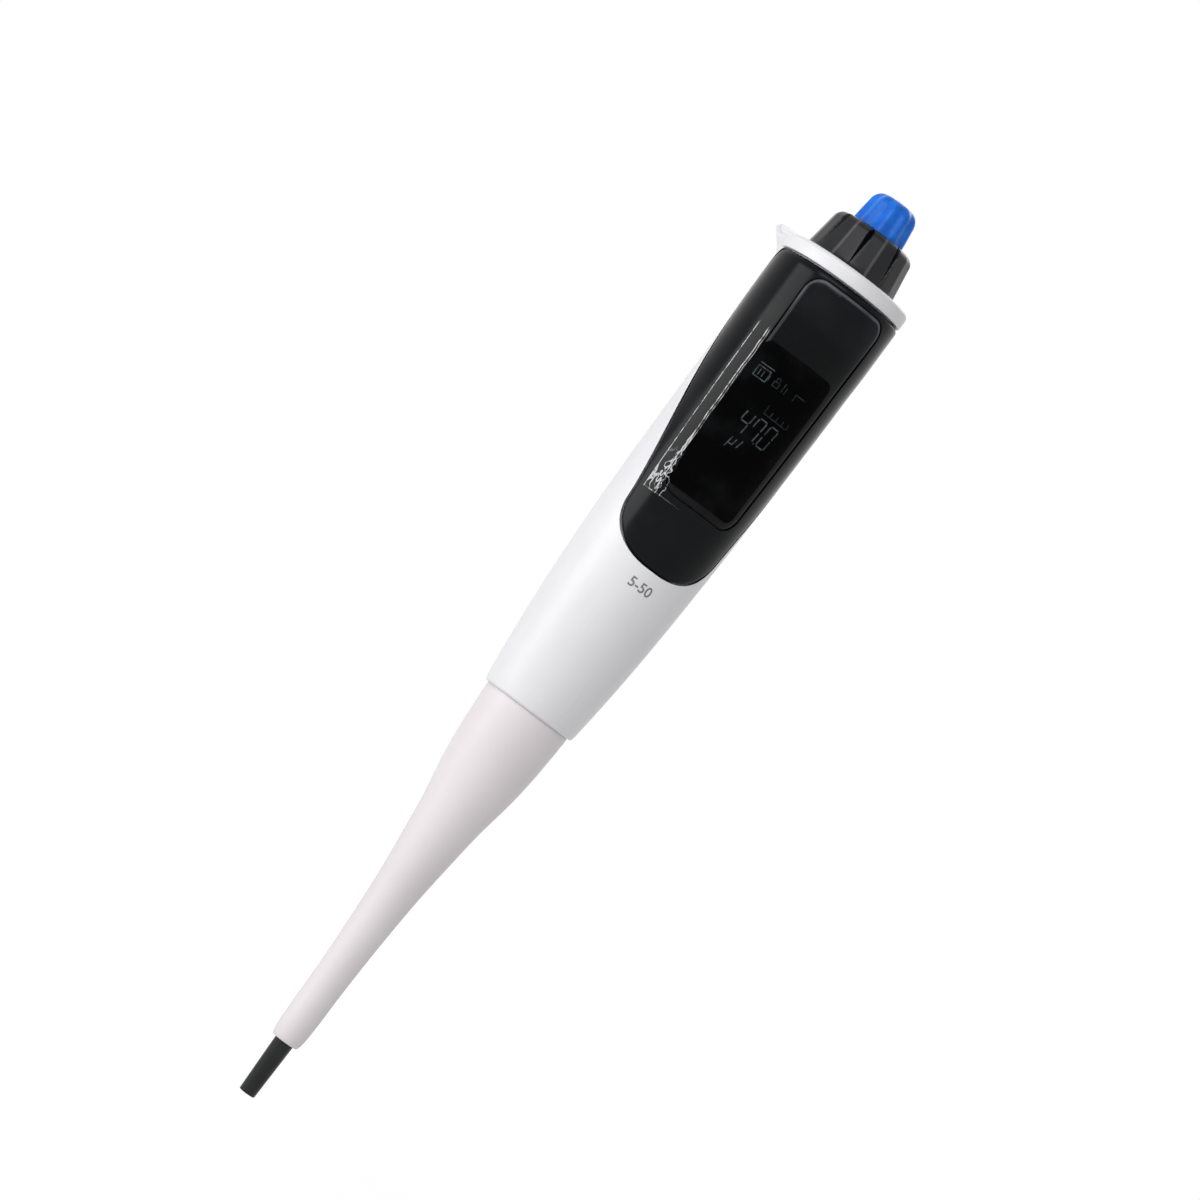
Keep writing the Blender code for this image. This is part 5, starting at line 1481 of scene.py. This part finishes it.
# %% Dial
def make_dial():
    angles = dial_angles()
    rings = [
        circle(ROD_HOLE, DIAL_BASE - HUB_DROP, angles),
        circle(HUB_RADIUS, DIAL_BASE - HUB_DROP, angles),
        circle(HUB_RADIUS, DIAL_BASE, angles),
    ]
    for back, rise in lower_edge():
        radius = DIAL_WIDE - DIAL_BASE_ROLL * back
        rings.append(circle(radius, DIAL_BASE + DIAL_BASE_ROLL * rise, angles))
    side = DIAL_TOP - DIAL_BASE - DIAL_ROLL
    for share in between(0.0, 1.0, 16)[1:]:
        radius = DIAL_WIDE + (DIAL_NARROW - DIAL_WIDE) * share
        outline = dial_radius(radius, min(4.0 * share, 1.0), share**1.1)
        rings.append(ring(outline, DIAL_BASE + side * share, angles))
    for back, rise in upper_edge():
        height = DIAL_TOP - DIAL_ROLL + DIAL_ROLL * rise
        outline = dial_radius(DIAL_NARROW - DIAL_ROLL * back, 1.0 - 0.3 * back, 1.0 - 0.4 * back)
        rings.append(ring(outline, height, angles))
    for radius, drop in (
        (BUTTON_WELL + 0.0003, 0.0001),
        (BUTTON_WELL, 0.0004),
        (BUTTON_WELL, WELL_DEPTH),
        (ROD_HOLE, WELL_DEPTH),
    ):
        rings.append(circle(radius, DIAL_TOP - drop, angles))
    return loft("dial", rings)


dress(make_dial(), "dial", dial_black, "dial_black", "volume_dial")

# %% [markdown]
# ## The button
#
# The blue button is pressed to draw and to dispense. It tapers, and ten shallow hollows run up it
# and fade out on the crown. A cosine round the axis gives soft hollows with rounded ribs.

# %% Button
BUTTON_LOW, BUTTON_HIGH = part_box("push_button")
BUTTON_FOOT = 0.0068
BUTTON_WIDE = 0.0071
BUTTON_NECK = 0.00636
BUTTON_CHAMFER = 0.0003
CROWN_RISE = 0.0034
CROWN_RUN = 0.00336
CROWN_FLAT = 0.0030
FLUTES = 10
FLUTE_DEPTH = 0.0006


def button_radius(radius, strength):
    """Radius at an angle, with hollows whose strength goes from 0 to 1."""

    def radius_at(angle):
        return radius - strength * FLUTE_DEPTH * (0.5 + 0.5 * math.cos(angle * FLUTES))

    return radius_at


def make_button():
    angles = even(200)
    foot = BUTTON_LOW.z
    crown = BUTTON_HIGH.z - CROWN_RISE
    rings = [
        circle(BUTTON_FOOT, foot, angles),
        circle(BUTTON_WIDE, foot + BUTTON_CHAMFER, angles),
    ]
    for share in between(0.0, 1.0, 14)[1:]:
        height = foot + BUTTON_CHAMFER + (crown - foot - BUTTON_CHAMFER) * share
        radius = BUTTON_WIDE + (BUTTON_NECK - BUTTON_WIDE) * share**1.5
        rings.append(ring(button_radius(radius, min(2.0 * share, 1.0)), height, angles))
    edge = upper_edge()
    for step, (back, rise) in enumerate(edge, 1):
        outline = button_radius(BUTTON_NECK - CROWN_RUN * back, (1.0 - step / len(edge)) ** 0.7)
        rings.append(ring(outline, crown + CROWN_RISE * rise, angles))
    for share in (0.66, 0.33):
        rings.append(circle(CROWN_FLAT * share, BUTTON_HIGH.z, angles))
    return loft("button", rings, loop=False)


dress(make_button(), "plunger", button_blue, "button_blue", "push_button")

# %% [markdown]
# ## The sleeve and the nozzle
#
# The white sleeve slides down over the cone to push the used tip off. Its outline was read off the
# photograph as radii at heights; a smooth curve through them gives the slight waist and belly of
# the real one. The nozzle below it is a plain taper with a rounded end and a bore up its middle.

# %% Sleeve
SLEEVE_OUTLINE = (
    (0.0035, 0.0040),
    (0.0075, 0.00415),
    (0.0170, 0.0043),
    (0.0300, 0.0048),
    (0.0443, 0.0057),
    (0.0583, 0.0072),
    (0.0660, 0.0082),
    (0.0740, 0.0096),
    (0.0823, 0.01055),
    (0.0927, 0.0112),
)
SLEEVE_MOUTH = ((0.0032, 0.0), (0.00345, 0.0003), (0.0037, 0.0010), (0.00386, 0.0020))
SLEEVE_TOP = 0.0112
SLEEVE_TOP_BORE = 0.0103
SLEEVE_WALL = 0.0009
SLEEVE_BORE = 0.00282


def through(points, share):
    """A smooth curve through (height, radius) points, at a share of their range of heights."""
    height = points[0][0] + (points[-1][0] - points[0][0]) * share
    index = max(i for i, point in enumerate(points[:-1]) if point[0] <= height + 1e-9)
    (low, first), (high, last) = points[index], points[index + 1]
    before = points[max(index - 1, 0)]
    after = points[min(index + 2, len(points) - 1)]
    slope_low = (last - before[1]) / (high - before[0])
    slope_high = (after[1] - first) / (after[0] - low)
    span = high - low
    t = (height - low) / span
    radius = (2 * t**3 - 3 * t**2 + 1) * first + (t**3 - 2 * t**2 + t) * span * slope_low
    radius += (3 * t**2 - 2 * t**3) * last + (t**3 - t**2) * span * slope_high
    return height, radius


def make_sleeve():
    low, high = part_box("ejector_sleeve")
    outline = []
    for share in between(0.0, 1.0, 60):
        height, radius = through(SLEEVE_OUTLINE, share)
        outline.append((radius, low.z + height))
    points = [(radius, low.z + rise) for radius, rise in SLEEVE_MOUTH]
    points += outline + [(SLEEVE_TOP, high.z), (SLEEVE_TOP_BORE, high.z)]
    points += [(max(r - SLEEVE_WALL, SLEEVE_BORE), height) for r, height in reversed(outline)]
    points.append((SLEEVE_BORE, low.z))
    return turn("sleeve", points, 144)


dress(make_sleeve(), "ejector", sleeve_white, "sleeve_white", "ejector_sleeve")

# %% Nozzle
NOZZLE_LIP = 0.0004
NOZZLE_OUTLINE = (
    (0.0008, 0.0, 0.0),
    (0.00205, 0.0, NOZZLE_LIP),
    (0.00242, 0.0147, 0.0),
    (0.00272, 0.0165, 0.0),
    (0.00315, 0.034, 0.0),
    (0.0036, 0.048, 0.0),
    (0.0042, 0.060, 0.0),
    (0.0055, 0.074, 0.0),
    (0.0076, 0.096, 0.0),
    (0.0076, 0.1147, 0.0),
    (0.0082, 0.1147, 0.0),
    (0.0082, 0.1177, 0.0),
    (0.0063, 0.1177, 0.0),
    (0.0063, 0.0970, 0.0),
    (0.0023, 0.0860, 0.0),
    (0.0023, 0.0370, 0.0),
    (0.0008, 0.0350, 0.0),
)


def make_nozzle():
    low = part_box("tip_cone")[0].z
    corners = [(radius, low + rise, rounding) for radius, rise, rounding in NOZZLE_OUTLINE]
    return turn("nozzle", rounded(corners), 96)


dress(make_nozzle(), "housing", cone_black, "cone_black", "tip_cone")

# %% [markdown]
# ## Finishes of the inner pieces
#
# Inside are metal, a green board, seals and springs. They are seldom seen, but each gets what its
# material shows: turned metal has fine rings round the axis, a board has its lacquer, rubber is
# dull. They keep their solids, so only their finish is assigned.


# %% Inner finishes
def turned_metal(name, colour, dark, roughness):
    finish = Finish(name)
    tool_marks = noise(finish, 0.0002, 2.0, (0.02, 0.02, 1.0))
    cloud = noise(finish, 0.004, 3.0)
    return finish.surface(
        Base_Color=blend(finish, 0.5 * tool_marks + 0.3 * cloud, colour, dark),
        Roughness=roughness + 0.15 * tool_marks,
        Metallic=1.0,
        Normal=bump(finish, tool_marks, 0.00001, 0.4),
    )


def dull_plastic(name, colour, dark, roughness):
    finish = Finish(name)
    grain = noise(finish, 0.0003, 3.0)
    cloud = noise(finish, 0.005, 3.0)
    return finish.surface(
        Base_Color=blend(finish, 0.6 * cloud + 0.4 * grain, colour, dark),
        Roughness=roughness + 0.12 * grain,
        Normal=bump(finish, grain, 0.00002, 0.4),
    )


INNER = {
    "steel": turned_metal("steel", rgb(0.62, 0.62, 0.64), rgb(0.45, 0.45, 0.47), 0.24),
    "aluminium": turned_metal("aluminium", rgb(0.78, 0.79, 0.81), rgb(0.6, 0.61, 0.63), 0.3),
    "brass": turned_metal("brass", rgb(0.72, 0.52, 0.22), rgb(0.55, 0.38, 0.15), 0.26),
    "inner_plastic": dull_plastic("grey plastic", rgb(0.3, 0.31, 0.33), rgb(0.24, 0.25, 0.27), 0.5),
    "board": dull_plastic("board lacquer", rgb(0.02, 0.18, 0.06), rgb(0.012, 0.11, 0.04), 0.35),
    "rubber": dull_plastic("rubber", rgb(0.02, 0.02, 0.02), rgb(0.03, 0.03, 0.03), 0.75),
    "seal": dull_plastic("seal white", rgb(0.88, 0.88, 0.86), rgb(0.8, 0.8, 0.78), 0.45),
    "ceramic": dull_plastic("ceramic", rgb(0.9, 0.89, 0.85), rgb(0.86, 0.84, 0.8), 0.12),
    "lcd": dull_plastic("display glass", rgb(0.05, 0.06, 0.06), rgb(0.04, 0.05, 0.05), 0.1),
    "dark_plastic": dark_plastic,
}

for part in frame["record"]["subparts"]:
    solid = frame["nodes"][part["node"]]
    finish_for = INNER.get(part["material_slot"])
    if finish_for and not solid.hide_render:
        solid.data.materials.clear()
        solid.data.materials.append(finish_for)
print("inner finishes:", ", ".join(sorted(INNER)))

# %% [markdown]
# ## The studio
#
# The picture has a pure white ground and soft light from the left. A world that is white for the
# camera, for mirrors and for glass gives that ground from every side, while it lights the object
# at a lower level. The floor is a pale sheet under the nozzle: it adds a little glow of its own for
# the same rays, so it reads as white and still takes the shadow. From below it is see-through.

# %% World
WORLD_LIGHT = 0.38


def looked_at(graph):
    """1 for rays from the camera, off a mirror or through glass, and 0 for light on the object."""
    kinds = ("Is Camera Ray", "Is Glossy Ray", "Is Transmission Ray")
    camera_ray, glossy, through_glass = (
        graph.node("ShaderNodeLightPath", output=kind) for kind in kinds
    )
    return graph.maths("MAXIMUM", graph.maths("MAXIMUM", camera_ray, glossy), through_glass)


world = bpy.data.worlds.new("studio")
bpy.context.scene.world = world
world.use_nodes = True
sky = Graph(world.node_tree)
level = sky.node("ShaderNodeMapRange", {}, {"Value": looked_at(sky), "To Min": WORLD_LIGHT})
background = world.node_tree.nodes["Background"]
sky.feed(background.inputs["Strength"], level)
background.inputs["Color"].default_value = rgb(1.0, 1.0, 1.0)
print("world light on the object:", WORLD_LIGHT)

# %% Floor
FLOOR_DROP = 0.012
FLOOR_HALF = 4.0
GLOW_NEAR = rgb(0.40, 0.40, 0.40)
GLOW_FAR = rgb(0.74, 0.74, 0.74)


def make_floor():
    form = bmesh.new()
    height = cad_low.z - FLOOR_DROP
    corners = [(-FLOOR_HALF, -FLOOR_HALF), (FLOOR_HALF, -FLOOR_HALF)]
    corners += [(FLOOR_HALF, FLOOR_HALF), (-FLOOR_HALF, FLOOR_HALF)]
    form.faces.new([form.verts.new((x, y, height)) for x, y in corners])
    return piece_from("floor", form)


def studio_sheet(name):
    sheet = Finish(name)
    pale = blend(sheet, noise(sheet, 0.004, 4.0), rgb(0.86, 0.86, 0.86), rgb(0.90, 0.90, 0.90))
    reach = sheet.node("ShaderNodeVectorMath", {"operation": "LENGTH"}, {0: spot(sheet)}, output=1)
    added = blend(sheet, step_up(sheet, reach, 0.25, 0.9), GLOW_NEAR, GLOW_FAR)
    shown = blend(sheet, looked_at(sheet), rgb(0.0, 0.0, 0.0), added)
    glow = sheet.node("ShaderNodeEmission", {}, {"Color": shown})
    matte = sheet.node("ShaderNodeBsdfDiffuse", {}, {"Color": pale})
    lit = sheet.node("ShaderNodeAddShader", {}, {0: matte, 1: glow})
    clear = sheet.node("ShaderNodeBsdfTransparent")
    under = sheet.node("ShaderNodeNewGeometry", output="Backfacing")
    both = sheet.node("ShaderNodeMixShader", {}, {0: under, 1: lit, 2: clear})
    sheet.feed(sheet.tree.nodes["Material Output"].inputs["Surface"], both)
    return sheet.material


floor = make_floor()
floor.data.materials.append(studio_sheet("studio sheet"))
print("floor at", round(cad_low.z - FLOOR_DROP, 4))

# %% Lamps
MIDDLE = (cad_low + cad_high) / 2.0


def lamp(name, azimuth, elevation, distance, width, height, power):
    """A soft box round the pipette's middle, placed by two angles in degrees."""
    light = bpy.data.lights.new(name, "AREA")
    light.shape = "RECTANGLE"
    light.size = width
    light.size_y = height
    light.energy = power
    away = outward(math.radians(azimuth), math.radians(elevation))
    look_at(bpy.data.objects.new(name, light), MIDDLE, away, distance)


lamp("key", -84.0, 0.0, 1.0, 0.62, 0.46, 4.5)
lamp("front", -33.0, 27.0, 1.3, 1.20, 0.50, 6.3)
lamp("rear", 150.0, 40.0, 1.3, 0.9, 0.6, 3.5)
print("lamps:", [item.name for item in bpy.data.lights])
